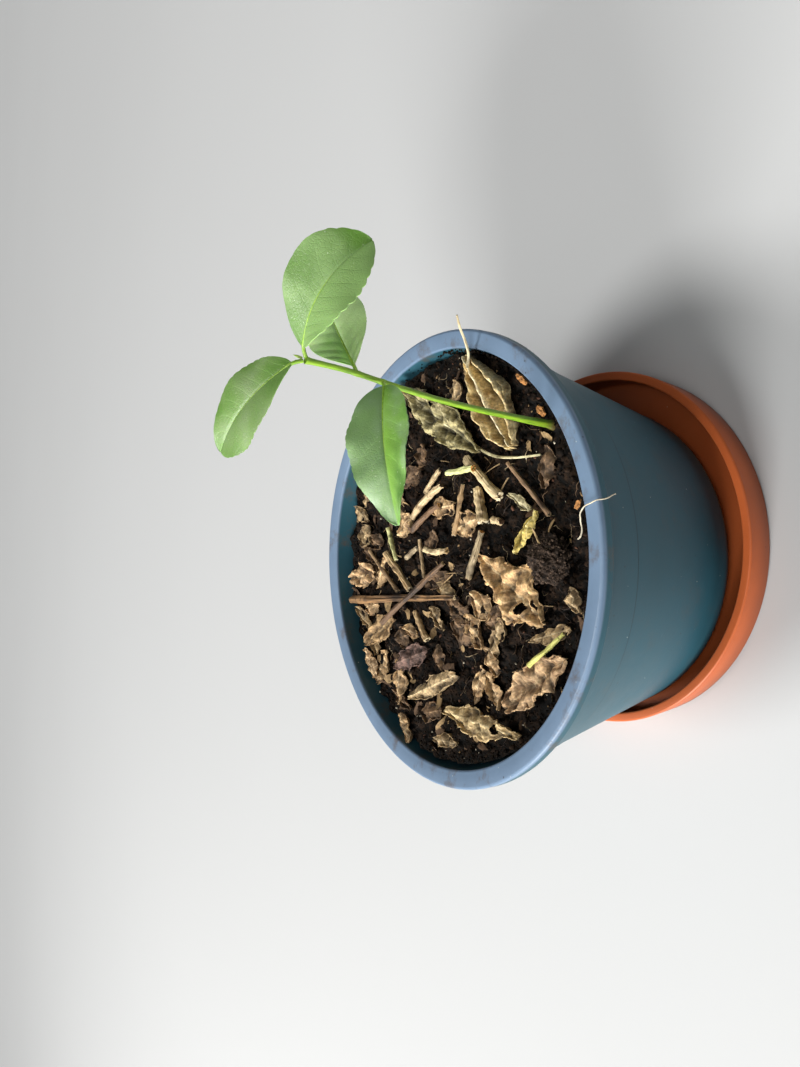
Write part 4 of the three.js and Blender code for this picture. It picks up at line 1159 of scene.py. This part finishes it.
class SEEDLING_OT_dry_leaves(Operator):
    """Folds and creases the dead leaves on the soil"""

    bl_idname = "seedling.dry_leaves"
    bl_label = "Dead Leaves"

    def execute(self, context):
        litter = context.scene.seedling_litter
        crease = litter.crease / MM
        for seed, (node, leaf) in enumerate(DRY_LEAVES.items(), 1):
            steps, columns = int(leaf["length"] * 2.4) + 14, int(leaf["width"] * 2.6) + 14
            shift = frame_shift(node, leaf, seed)

            def surface_at(s, t):
                return dry_surface(leaf, seed, s, t, crease, shift)

            piece = dry_blade(node + "_blade", steps, columns, surface_at, leaf["holes"], litter.leaf,
                              dead_leaf(node + "_skin", leaf))
            if "stalk" in leaf:
                middle = surface_at(np.linspace(0, 1, 51), np.full(51, 0.5))[0]
                start = middle[int(round((leaf["stalk_from"] + 0.5) * 50))] + (0, 0, 0.2)
                stalk = thread(node + "_stalk", [start, *leaf["stalk"]], radii=(0.62, 0.34), steps=40,
                               sides=10, ripple=(0.08, 3, 9))
                tone = {"light": leaf["vein"], "dark": leaf["light"]}
                piece = join([piece, paint(stalk, dead_bark(node + "_stalk_skin", tone))])
            piece.name = "litter_" + node
            finish(piece, "dry_leaf", 38, node=node)
        return {"FINISHED"}


def axis_of(node, rings):
    """Centres and radii of the rings of a rod in the frame, from its far end to its near end."""
    points = np.array([v.co for v in frame["nodes"][node].data.vertices])
    points = np.unique(points.round(7), axis=0)
    middle = points.mean(0)
    direction = np.linalg.svd(points - middle)[2][0]
    if direction[1] > 0:
        direction = -direction
    along = (points - middle) @ direction
    ring = np.rint((along - along.min()) / np.ptp(along) * (rings - 1)).astype(int)
    centres = np.array([points[ring == k].mean(0) for k in range(rings)])
    radii = np.array([np.linalg.norm(points[ring == k] - centres[k], axis=1).mean() for k in range(rings)])
    return centres, radii


class SEEDLING_OT_cut_stems(Operator):
    """Rolls the cut stems with their bark ridges, joints and cut ends"""

    bl_idname = "seedling.cut_stems"
    bl_label = "Cut Stems"

    def execute(self, context):
        litter = context.scene.seedling_litter
        rings = 5
        for seed, (node, look) in enumerate(CUT_STEMS.items(), 1):
            centres, radii = axis_of(node, rings)
            knots = np.linspace(0, 1, rings)
            joint = 0.5 + 0.36 * scatter(seed, 7)
            long = np.linalg.norm(centres[-1] - centres[0])

            def radius(s):
                knot = look["knot"] * np.exp(-((s - joint) * long / 0.0013) ** 2)
                swell = 0.05 * np.sin(9 * s + seed) + 0.04 * np.sin(23 * s + 2 * seed)
                return np.interp(s, knots, radii) * (0.97 + knot + swell)

            def relief(s, angle):
                twist = angle + 0.5 * s * scatter(seed, 3)
                ridges = np.sin(7 * twist) * np.sin(3 * twist + 5 * s) + 0.6 * np.sin(13 * twist + 3 * s)
                dents = np.sin(21 * s + seed) * np.sin(2 * angle + 9 * s + seed)
                split = np.exp(-((angle - 4.4 - 0.3 * s) / 0.22) ** 2) * smooth((s - 0.12) / 0.2)
                groove = look.get("groove", 0) * radii.mean() * split
                slim = min(1.0, radii.mean() / (1.6 * MM))
                return litter.ridge * slim * (0.8 * ridges + 1.1 * dents) - groove

            bends = np.array([[scatter(seed + k, j) for j in (1, 2, 3)] for k in range(rings)])
            centres = centres + bends * radii.mean() * 0.22 * (1, 1, 0.4)
            piece = rod("litter_" + node, centres, radius, 60, 24, relief, radii.mean() * 0.5, seed)
            paint(piece, dead_bark(node + "_bark", look), cut_wood(node + "_cut", look["cut"]),
                  cut_wood(node + "_pith", look["dark"]))
            hollow_cuts(piece, radii.mean())
            finish(piece, "dead_wood", 45, node=node)
        return {"FINISHED"}


def hollow_cuts(piece, radius):
    """Insets the two cut ends of a stem twice, and a third time as a shallow pith."""
    edit_faces(piece, lambda face: len(face.vertices) > 4)
    for slot, thickness, depth in ((1, 0.16, 0.07), (1, 0.4, -0.06), (2, 0.04, -0.3)):
        piece.active_material_index = slot
        bpy.ops.object.material_slot_assign()
        bpy.ops.mesh.inset(thickness=radius * thickness, depth=radius * depth)
    set_mode("OBJECT")


class SEEDLING_OT_chips(Operator):
    """Roughens copies of the frame's bark chips"""

    bl_idname = "seedling.chips"
    bl_label = "Bark Chips"

    def execute(self, context):
        bark = plain_grain("bark_chip_skin", 0xA8733C, 0.0009)
        for seed, node in enumerate(CHIPS):
            deselect()
            original = frame["nodes"][node]
            low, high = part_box(node)
            bpy.ops.mesh.primitive_cube_add(size=1)
            piece = bpy.context.object
            piece.name = "litter_" + node
            piece.data = original.data.copy()
            piece.data.materials.clear()
            edit(piece)
            bpy.ops.mesh.remove_doubles(threshold=DOUBLES)
            bpy.ops.mesh.subdivide(number_cuts=5)
            set_mode("OBJECT")
            points = read_points(piece)
            rough = np.column_stack([roughness(points / MM, 1.1, 3, seed + k) for k in (1, 2, 3)])
            moved = points + rough * 0.4 * MM
            write_points(piece, np.clip(moved, np.array(low), np.array(high)))
            finish(piece, "dead_wood", 50, bark, node=node)
        return {"FINISHED"}


class SEEDLING_OT_clod(Operator):
    """Models the crumbly clod of soil with the stick that lies against it"""

    bl_idname = "seedling.clod"
    bl_label = "Clod"

    def execute(self, context):
        deselect()
        bpy.ops.mesh.primitive_ico_sphere_add(subdivisions=5, radius=1)
        clod = bpy.context.object
        clod.name = "soil_clod_lump"
        ball = read_points(clod)
        lumps = np.abs(roughness(ball, 0.62, 3, 6.0))
        crumbs = np.abs(roughness(ball, 0.2, 3, 8.0))
        grow = 0.84 + 0.34 * lumps + 0.16 * crumbs
        x, y = (CLOD["at"] + ball[:, :2] * CLOD["size"][:2] * grow[:, None]).T
        rise = np.maximum(0, (CLOD["sunk"] + ball[:, 2]) * CLOD["size"][2] * grow)
        z = bed_top(x, y) + rise
        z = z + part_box("soil_clod")[0].z / MM - z.min()
        write_points(clod, to_frame(np.column_stack([x, y, z])))
        paint(clod, peat("clod_peat", 0x1C1612, 0x40342B, 0.0016))
        random = np.random.default_rng(3)
        skin = read_points(clod)[random.choice(np.flatnonzero(rise > 1.0), CLOD["crumbs"])]
        sizes = random.uniform(0.4, 1.5, len(skin)) ** 1.5 * MM
        loose = joined_copies("clod_crumbs", crumb_shape(1), skin, sizes, random)
        paint(loose, peat("clod_crumb_peat", 0x2A211B, 0x5A4A3E, 0.0012))
        finish(join([clod, loose]), "soil", 70, node="soil_clod")
        stick = thread("litter_clod_stick", CLOD["stick"], radii=(0.4, 0.28), steps=24, sides=10,
                       ripple=(0.06, 3, 11), ragged=0.3, seed=4.0)
        finish(stick, "dead_wood", 50, plain_grain("clod_stick_bark", 0xB09468, 0.001))
        return {"FINISHED"}


def litter_tree():
    """A tree of the faces of the litter, the clod and the stem."""
    points, faces = [], []
    for piece in bpy.context.scene.objects:
        if piece.type == "MESH" and piece.name.startswith(("litter_", "soil_clod_lump", "seedling_stem")):
            start = len(points)
            points.extend(read_points(piece).tolist())
            faces.extend([start + i for i in face.vertices] for face in piece.data.polygons)
    return BVHTree.FromPolygons(points, faces)


class SEEDLING_OT_scraps(Operator):
    """Strews crumpled scraps of dead leaf between the larger litter"""

    bl_idname = "seedling.scraps"
    bl_label = "Leaf Scraps"

    def execute(self, context):
        litter, soil = context.scene.seedling_litter, context.scene.seedling_soil
        crease, depth = litter.crease / MM, soil.relief / MM
        skins = [dead_leaf("scrap_skin_" + name, tone) for name, tone in SCRAP_TONES.items()]
        random = np.random.default_rng(11)
        laid = litter_tree()
        scraps = []
        seen = [(x, y, heading, long, wide, 2.2) for x, y, heading, long, wide in SCRAPS_SEEN]
        strewn = [(x, y, random.uniform(0, 360), random.uniform(8, 20), random.uniform(5, 12),
                   random.uniform(0.8, 2.0)) for x, y, _ in sown(8 * litter.scraps, random, 0, 74, depth,
                                                                 among_leaves)]
        for k, (x, y, heading, long, wide, high) in enumerate(seen + strewn):
            leaf = {
                "at": (x, y), "heading": heading, "length": long, "width": wide, "height": high, "pleats": 1,
                "fold": 6.0, "lobes": 0.5,
            }
            corners = np.array([(x, y), *[lay(leaf, a, b * wide) for a in (0.1, 0.9) for b in (-0.35, 0.35)]])
            corners = to_frame(np.column_stack([corners, np.full(len(corners), POT_TOP)]))
            blocked = [laid.ray_cast(Vector(corner), Vector((0, 0, -1)), 0.03)[0] for corner in corners]
            apart = all(math.dist((x, y), other) > SCRAP_GAP for other, _ in scraps)
            if len(scraps) == litter.scraps or k >= len(seen) and (any(blocked) or not apart):
                continue
            seed = 40 + len(scraps)

            def surface_at(s, t):
                points, crest = dry_surface(leaf, seed, s, t, crease, 0)
                ground = soil_surface(points[:, 0], points[:, 1], depth)[0]
                points[:, 2] -= np.quantile(points[:, 2] - ground, 0.12)
                return points, crest

            piece = dry_blade("scrap", int(long * 1.6) + 6, int(wide * 1.6) + 6, surface_at, (), litter.leaf,
                              skins[len(scraps) % len(skins)])
            scraps.append(((x, y), piece))
        finish(join([piece for _, piece in scraps]), "dry_leaf", 38).name = "litter_leaf_scraps"
        return {"FINISHED"}


def new_piece(name, points, faces):
    """A piece from arrays of points and faces."""
    mesh = bpy.data.meshes.new(name)
    mesh.from_pydata(points.tolist(), [], faces.tolist())
    piece = bpy.data.objects.new(name, mesh)
    bpy.context.scene.collection.objects.link(piece)
    return piece


def joined_copies(name, shape, places, sizes, random, form=(1, 1, 1), lean=1.0, curl=0.0, torn=0.2):
    """One mesh of many turned, bent and scaled copies of a small shape."""
    points, faces = shape
    number = len(places)
    turns = random.normal(size=(number, 4)) * (1, lean, lean, 1)
    turns /= np.linalg.norm(turns, axis=1)[:, None]
    w, x, y, z = turns.T
    rows = np.array([
        [1 - 2 * (y * y + z * z), 2 * (x * y - z * w), 2 * (x * z + y * w)],
        [2 * (x * y + z * w), 1 - 2 * (x * x + z * z), 2 * (y * z - x * w)],
        [2 * (x * z - y * w), 2 * (y * z + x * w), 1 - 2 * (x * x + y * y)],
    ]).transpose(2, 0, 1)
    stretch = random.uniform(0.6, 1.25, (number, 1, 3)) * form
    rough = points[None] * stretch * (1 + random.uniform(-torn, torn, (number, len(points), 1)))
    bend = random.uniform(-curl, curl, (number, 2, 1))
    rough[:, :, 2] += bend[:, 0] * rough[:, :, 0] ** 2 + 1.5 * bend[:, 1] * rough[:, :, 1] ** 2
    placed = np.einsum("nij,nvj->nvi", rows, rough) * sizes[:, None, None] + places[:, None]
    all_faces = faces[None] + (np.arange(number) * len(points))[:, None, None]
    return new_piece(name, placed.reshape(-1, 3), all_faces.reshape(-1, 3))


def small_shape(piece):
    """The points and triangles of a small piece, which is then removed."""
    edit(piece)
    bpy.ops.mesh.quads_convert_to_tris()
    set_mode("OBJECT")
    points = read_points(piece)
    faces = np.array([list(face.vertices) for face in piece.data.polygons])
    bpy.data.objects.remove(piece)
    return points, faces


def crumb_shape(subdivisions):
    deselect()
    bpy.ops.mesh.primitive_ico_sphere_add(subdivisions=subdivisions, radius=0.5)
    return small_shape(bpy.context.object)


def sown(number, random, inner, edge, depth, gather):
    """Random points on the crumbly soil, in millimetres from the pot's axis, thicker where they gather."""
    radius = np.sqrt(random.uniform(inner ** 2, edge ** 2, number))
    angle = random.uniform(0, 2 * math.pi, number)
    x, y = radius * np.cos(angle), radius * np.sin(angle)
    if gather:
        kept = random.uniform(0, 1, number) < gather(x, y)
        x, y = x[kept], y[kept]
    return np.column_stack([x, y, soil_surface(x, y, depth)[0]])


def among_leaves(x, y):
    """Leaf bits lie thickest on the side away from the stem."""
    return 0.2 + 0.8 * smooth((35 - x + 0.5 * y) / 90)


def among_stems(x, y):
    """Twigs lie among the cut stems, near the middle."""
    return 0.15 + 0.85 * np.exp(-(x ** 2 + (y + 8) ** 2) / 42 ** 2)


def with_room(places, sizes, litter):
    """Which crumbs fit under the litter over them, in metres."""
    keep = []
    for (x, y, z), size in zip(places, sizes):
        hit = litter.ray_cast(Vector((x, y, z - 0.004)), Vector((0, 0, 1)), 0.03)
        keep.append(hit[0] is None or hit[3] - 0.004 > size * 0.62)
    return np.array(keep)


class SEEDLING_OT_soil(Operator):
    """Spins the body of soil, dents its top and sows crumbs, fibres, bark bits and grains"""

    bl_idname = "seedling.soil"
    bl_label = "Soil"

    def execute(self, context):
        soil = context.scene.seedling_soil
        depth = soil.relief / MM
        edge = self.body(soil, context.scene.seedling_pot, depth)
        random = np.random.default_rng(7)
        litter = litter_tree()
        ball, round_ball = crumb_shape(1), crumb_shape(2)
        twig = small_shape(rod("twig", ((-0.5, 0, 0), (0, 0, 0), (0.5, 0, 0)),
                               lambda s: np.full_like(s, 0.5), steps=5, sides=6))

        def sow(name, number, least, most, shape, material, slot, raised=-0.15, inner=0, gather=None,
                form=(1, 1, 1), **lie):
            places = sown(number, random, inner, edge - most * 0.4, depth, gather)
            sizes = random.uniform(least, most, len(places)) * MM
            placed = to_frame(places)
            placed[:, 2] += raised * sizes
            keep = with_room(placed, sizes * min(1.0, 2.5 * max(form[1:])), litter)
            piece = joined_copies("soil_" + name, shape, placed[keep], sizes[keep], random, form, **lie)
            finish(piece, slot, 70, material)

        brown = soil.brown_tint
        wet = peat("wet_crumb_peat", soil.dark_tint, scaled(brown, 0.7), 0.0014)
        dry = peat("dry_crumb_peat", scaled(brown, 0.6), scaled(brown, 1.6), 0.0014)
        for kind, number, least, most, shape in (
            ("coarse", soil.coarse, 2.0, 3.6, round_ball), ("medium", soil.medium, 1.0, 2.0, ball),
            ("fine", soil.fine, 0.5, 1.0, ball),
        ):
            sow("wet_crumbs_" + kind, number * 2 // 3, least, most, shape, wet, "soil")
            sow("dry_crumbs_" + kind, number // 3, least, most, shape, dry, "soil")
        sow("edge_crumbs", soil.edge, 0.6, 1.8, ball, wet, "soil", inner=edge - 3)
        self.cling(soil.clinging, context.scene.seedling_pot, random, ball, wet)

        # Bits of bark lie anyhow, and flakes and twigs lie flat and a little bent.
        bark = {"raised": 0.12}
        flake = {"raised": 0.07, "gather": among_leaves, "lean": 0.3, "curl": 0.7, "torn": 0.3}
        bent_flake = {**flake, "curl": 0.8}
        stick = {"raised": 0.07, "gather": among_stems, "lean": 0.12, "curl": 0.35, "torn": 0.15}
        for name, number, least, most, shape, tone, form, lie in (
            ("bark_bits", soil.chips, 0.9, 2.6, ball, 0x5E3A26, (1, 0.7, 0.45), bark),
            ("tan_bits", soil.chips, 0.8, 2.2, ball, 0x947650, (1, 0.6, 0.4), bark),
            ("tan_flakes", soil.flakes, 3.0, 8.0, round_ball, 0x9C8058, (1, 0.55, 0.05), flake),
            ("brown_flakes", soil.flakes, 3.0, 9.0, round_ball, 0x5E4630, (1, 0.5, 0.05), bent_flake),
            ("pale_twigs", soil.twigs, 5.0, 12.0, twig, 0xB89A70, (1, 0.06, 0.06), stick),
            ("brown_twigs", soil.twigs, 4.0, 11.0, twig, 0x6E5038, (1, 0.08, 0.08), stick),
        ):
            skin = plain_grain(name + "_skin", tone, 0.0012)
            sow(name, number, least, most, shape, skin, "dead_wood", form=form, **lie)
        grain = plain_grain("pale_grain_skin", 0xC9BEA8, 0.001)
        sow("pale_grains", soil.grains, 0.4, 1.0, ball, grain, "soil", raised=0.2)
        self.sow_fibres(soil, random, edge, depth, litter)
        return {"FINISHED"}

    def body(self, soil, pot, depth):
        """The body of soil with its crumbly top, and the radius of its edge in millimetres."""
        rim_width, wall = pot.rim_width / MM, pot.wall / MM
        floor = POT_BASE + POT_FLOOR + CLEARANCE
        side_foot = floor + SOIL_CORNER[1]
        top = SOIL_LEVEL - 1.0
        edge = inner_radius(SOIL_LEVEL, rim_width, wall) - 1.5 * CLEARANCE
        side = inner_radius(side_foot, rim_width, wall) - CLEARANCE
        rings, steps = SOIL_STEPS
        outline = [
            (0, floor), (side - SOIL_CORNER[0], floor), (side, side_foot),
            *[(edge * (1 - i / rings), top) for i in range(rings + 1)],
        ]
        piece = turned("potting_soil", outline, steps, AXIS)
        points = read_points(piece)
        upper = points[:, 2] > (top - 0.5) * MM
        flat = (points[upper] - AXIS) / MM
        deep = np.zeros(len(points))
        height, deep[upper] = soil_surface(flat[:, 0], flat[:, 1], depth)
        points[upper, 2] = height * MM
        write_points(piece, points)
        # The depth of each place in the crevices goes to the peat as painted shade.
        give(piece, "crevice", deep)
        earth = peat("potting_peat", soil.dark_tint, soil.brown_tint, 0.003, True)
        finish(piece, "soil", 80, earth, node="soil")
        return edge

    def cling(self, number, pot, random, shape, material):
        """Sticks crumbs to the inside of the pot beside the stem, up to the rim."""
        beside_stem, spread = -32, 20
        size = random.uniform(0.5, 1.7, number)
        angle = np.radians(random.normal(beside_stem, spread, number))
        height = random.uniform(SOIL_LEVEL + 1, POT_TOP - RIM_FALL - 1.2, number)
        radius = inner_radius(height, pot.rim_width / MM, pot.wall / MM) - 0.42 * size
        places = np.column_stack([radius * np.cos(angle), radius * np.sin(angle), height])
        keep = np.linalg.norm(places[:, :2] - STEM_FOOT[:2], axis=1) > 3.5
        piece = joined_copies("soil_clinging_crumbs", shape, to_frame(places[keep]), size[keep] * MM, random)
        finish(piece, "soil", 70, material)

    def sow_fibres(self, soil, random, edge, depth, litter):
        """Lays thin curved fibres on the soil, in three tones."""
        steps, sides = 7, 4
        around = np.linspace(0, 2 * math.pi, sides, endpoint=False)[:, None]
        ring = np.arange(sides)
        tube = [ring[::-1], steps * sides + ring]
        for low in range(0, steps * sides, sides):
            a, b = low + ring, low + np.roll(ring, -1)
            tube.extend(np.column_stack([a, b, b + sides, a + sides]))
        tube = np.array(tube)
        for name, tone, part in (("dark", 0x32251C, 1), ("tan", 0x6E553C, 3), ("pale", 0x9C8868, 3)):
            fibres = []
            number = soil.fibres // part
            for start in sown(number, random, 0, edge - 6, depth, None):
                heading, bend = random.uniform(0, 2 * math.pi), random.uniform(-0.35, 0.35)
                step = random.uniform(0.5, 1.5)
                line = [start[:2]]
                for _ in range(steps):
                    heading += bend + random.uniform(-0.25, 0.25)
                    line.append(line[-1] + step * np.array([math.cos(heading), math.sin(heading)]))
                line = np.array(line)
                if np.hypot(*line.T).max() > edge - 1:
                    continue
                high = soil_surface(*line.T, depth)[0] + 0.25 + 0.5 * random.uniform()
                centre = to_frame(np.column_stack([line, high]))
                if not with_room(centre, np.full(len(centre), 0.5 * MM), litter).all():
                    continue
                thick = random.uniform(0.08, 0.2) * MM
                side = np.cross(np.gradient(centre, axis=0), (0, 0, 1))
                side /= np.linalg.norm(side, axis=1)[:, None]
                slim = thick * (1 - 0.6 * np.abs(np.linspace(-1, 1, steps + 1)))[:, None, None]
                rings = side[:, None] * np.cos(around) + np.array((0, 0, 1)) * np.sin(around)
                fibres.append(centre[:, None] + slim * rings)
            starts = np.arange(len(fibres))[:, None, None] * sides * (steps + 1)
            faces = (tube + starts).reshape(-1, sides)
            piece = new_piece(f"soil_{name}_fibres", np.array(fibres).reshape(-1, 3), faces)
            finish(piece, "soil", 80, plain_grain(name + "_fibres_skin", tone, 0.002))


class SEEDLING_OT_rootlet(Operator):
    """Lays the pale rootlet over the rim"""

    bl_idname = "seedling.rootlet"
    bl_label = "Rootlet"

    def execute(self, context):
        piece = thread("soil_rootlet", ROOTLET, radii=(0.28, 0.2), steps=90, sides=8, ripple=(0.06, 1, 40))
        finish(piece, "dead_wood", 80, plain_grain("rootlet_skin", 0xCFC4AC, 0.002, rough=0.7))
        return {"FINISHED"}


class SEEDLING_OT_stage(Operator):
    """Adds the floor, the lights and the camera"""

    bl_idname = "seedling.stage"
    bl_label = "Stage"

    def execute(self, context):
        stage = context.scene.seedling_stage
        deselect()
        bpy.ops.mesh.primitive_circle_add(vertices=96, radius=9, fill_type="NGON", location=(0, 0, -0.0001))
        floor = bpy.context.object
        floor.name = "floor"
        bpy.ops.object.transform_apply()
        paint(floor, self.floor_paint(stage.floor_tint))
        self.light("SUN", "overhead_light", (-0.25, 0.32, 0.9), stage.key, angle=math.radians(20))
        self.light("SUN", "front_light", (-0.15, -0.4, 0.9), stage.front, angle=math.radians(30))
        self.light("AREA", "side_light", (-2.0, -0.25, 0.7), stage.side, shape="SQUARE", size=0.9)
        world = bpy.data.worlds.new("soft_sky")
        context.scene.world = world
        world.use_nodes = True
        sky = world.node_tree.nodes["Background"].inputs
        sky["Color"].default_value = rgba(0xE8ECF0)
        sky["Strength"].default_value = stage.sky
        context.scene.view_settings.view_transform = "Standard"
        self.camera(context)
        return {"FINISHED"}

    def floor_paint(self, colour):
        """Matt floor paint: pale and almost even."""
        material, node = new_material("floor_paint")
        shade = node("MapRange", node("TexNoise", node("TexCoord", out=3), 1.5, 2), 0, 1, 0.97, 1.03)
        tone = node("Mix", 1, colour, shade, blend_type="MULTIPLY")
        return surface(material, base_color=tone, roughness=0.7)

    def light(self, kind, name, place, power, **form):
        """Adds a soft lamp that points at the middle of the pot."""
        deselect()
        bpy.ops.object.light_add(type=kind, location=place)
        lamp = bpy.context.object
        lamp.name = name
        lamp.visible_camera = False
        lamp.data.energy = power
        lamp.data.color = linear(LAMP_WHITE)
        for option, value in form.items():
            setattr(lamp.data, option, value)
        aim = Vector((0, 0, 0.1)) - Vector(place)
        lamp.rotation_euler = aim.to_track_quat("-Z", "Y").to_euler()

    def camera(self, context):
        """The photo's view: held on its side, near the pot and looking down on it."""
        focal_pixels, long_side = 785.9, 1067
        place = to_frame((-1.3, -257.8, 285.0))
        azimuth, fall, roll = (math.radians(a) for a in (2.4, 32.87, -89.28))
        level = math.cos(fall)
        look = Vector((math.sin(azimuth) * level, math.cos(azimuth) * level, -math.sin(fall)))
        bpy.ops.object.camera_add(location=place)
        camera = bpy.context.object
        camera.name = "photo_camera"
        turn = look.to_track_quat("-Z", "Y").to_matrix().to_4x4() @ Matrix.Rotation(roll, 4, "Z")
        camera.rotation_euler = turn.to_euler()
        camera.data.sensor_width = 36
        camera.data.lens = focal_pixels / long_side * camera.data.sensor_width
        camera.data.clip_start = 0.01
        context.scene.camera = camera


OPERATORS = (
    SEEDLING_OT_stage, SEEDLING_OT_saucer, SEEDLING_OT_pot, SEEDLING_OT_stem, SEEDLING_OT_leaves,
    SEEDLING_OT_dry_leaves, SEEDLING_OT_cut_stems, SEEDLING_OT_chips, SEEDLING_OT_clod, SEEDLING_OT_scraps,
    SEEDLING_OT_soil, SEEDLING_OT_rootlet,
)
SETTINGS = {
    "seedling_pot": PotSettings, "seedling_soil": SoilSettings, "seedling_plant": PlantSettings,
    "seedling_litter": LitterSettings, "seedling_stage": StageSettings,
}


class SEEDLING_PT_panel(Panel):
    """Lists the pieces and their settings"""

    bl_idname = "SEEDLING_PT_panel"
    bl_label = "Potted Seedling"
    bl_space_type = "VIEW_3D"
    bl_region_type = "UI"
    bl_category = "Seedling"

    def draw(self, context):
        for name, group in SETTINGS.items():
            box = self.layout.box()
            settings = getattr(context.scene, name)
            for key in group.__annotations__:
                box.prop(settings, key)
        for operator in OPERATORS:
            self.layout.operator(operator.bl_idname)


def register():
    for group in SETTINGS.values():
        bpy.utils.register_class(group)
    for name, group in SETTINGS.items():
        setattr(bpy.types.Scene, name, PointerProperty(type=group))
    for operator in OPERATORS:
        bpy.utils.register_class(operator)
    bpy.utils.register_class(SEEDLING_PT_panel)


def unregister():
    bpy.utils.unregister_class(SEEDLING_PT_panel)
    for operator in reversed(OPERATORS):
        bpy.utils.unregister_class(operator)
    for name, group in SETTINGS.items():
        delattr(bpy.types.Scene, name)
        bpy.utils.unregister_class(group)


def main():
    register()
    for operator in OPERATORS:
        family, name = operator.bl_idname.split(".")
        getattr(getattr(bpy.ops, family), name)()


if __name__ == "__main__":
    main()
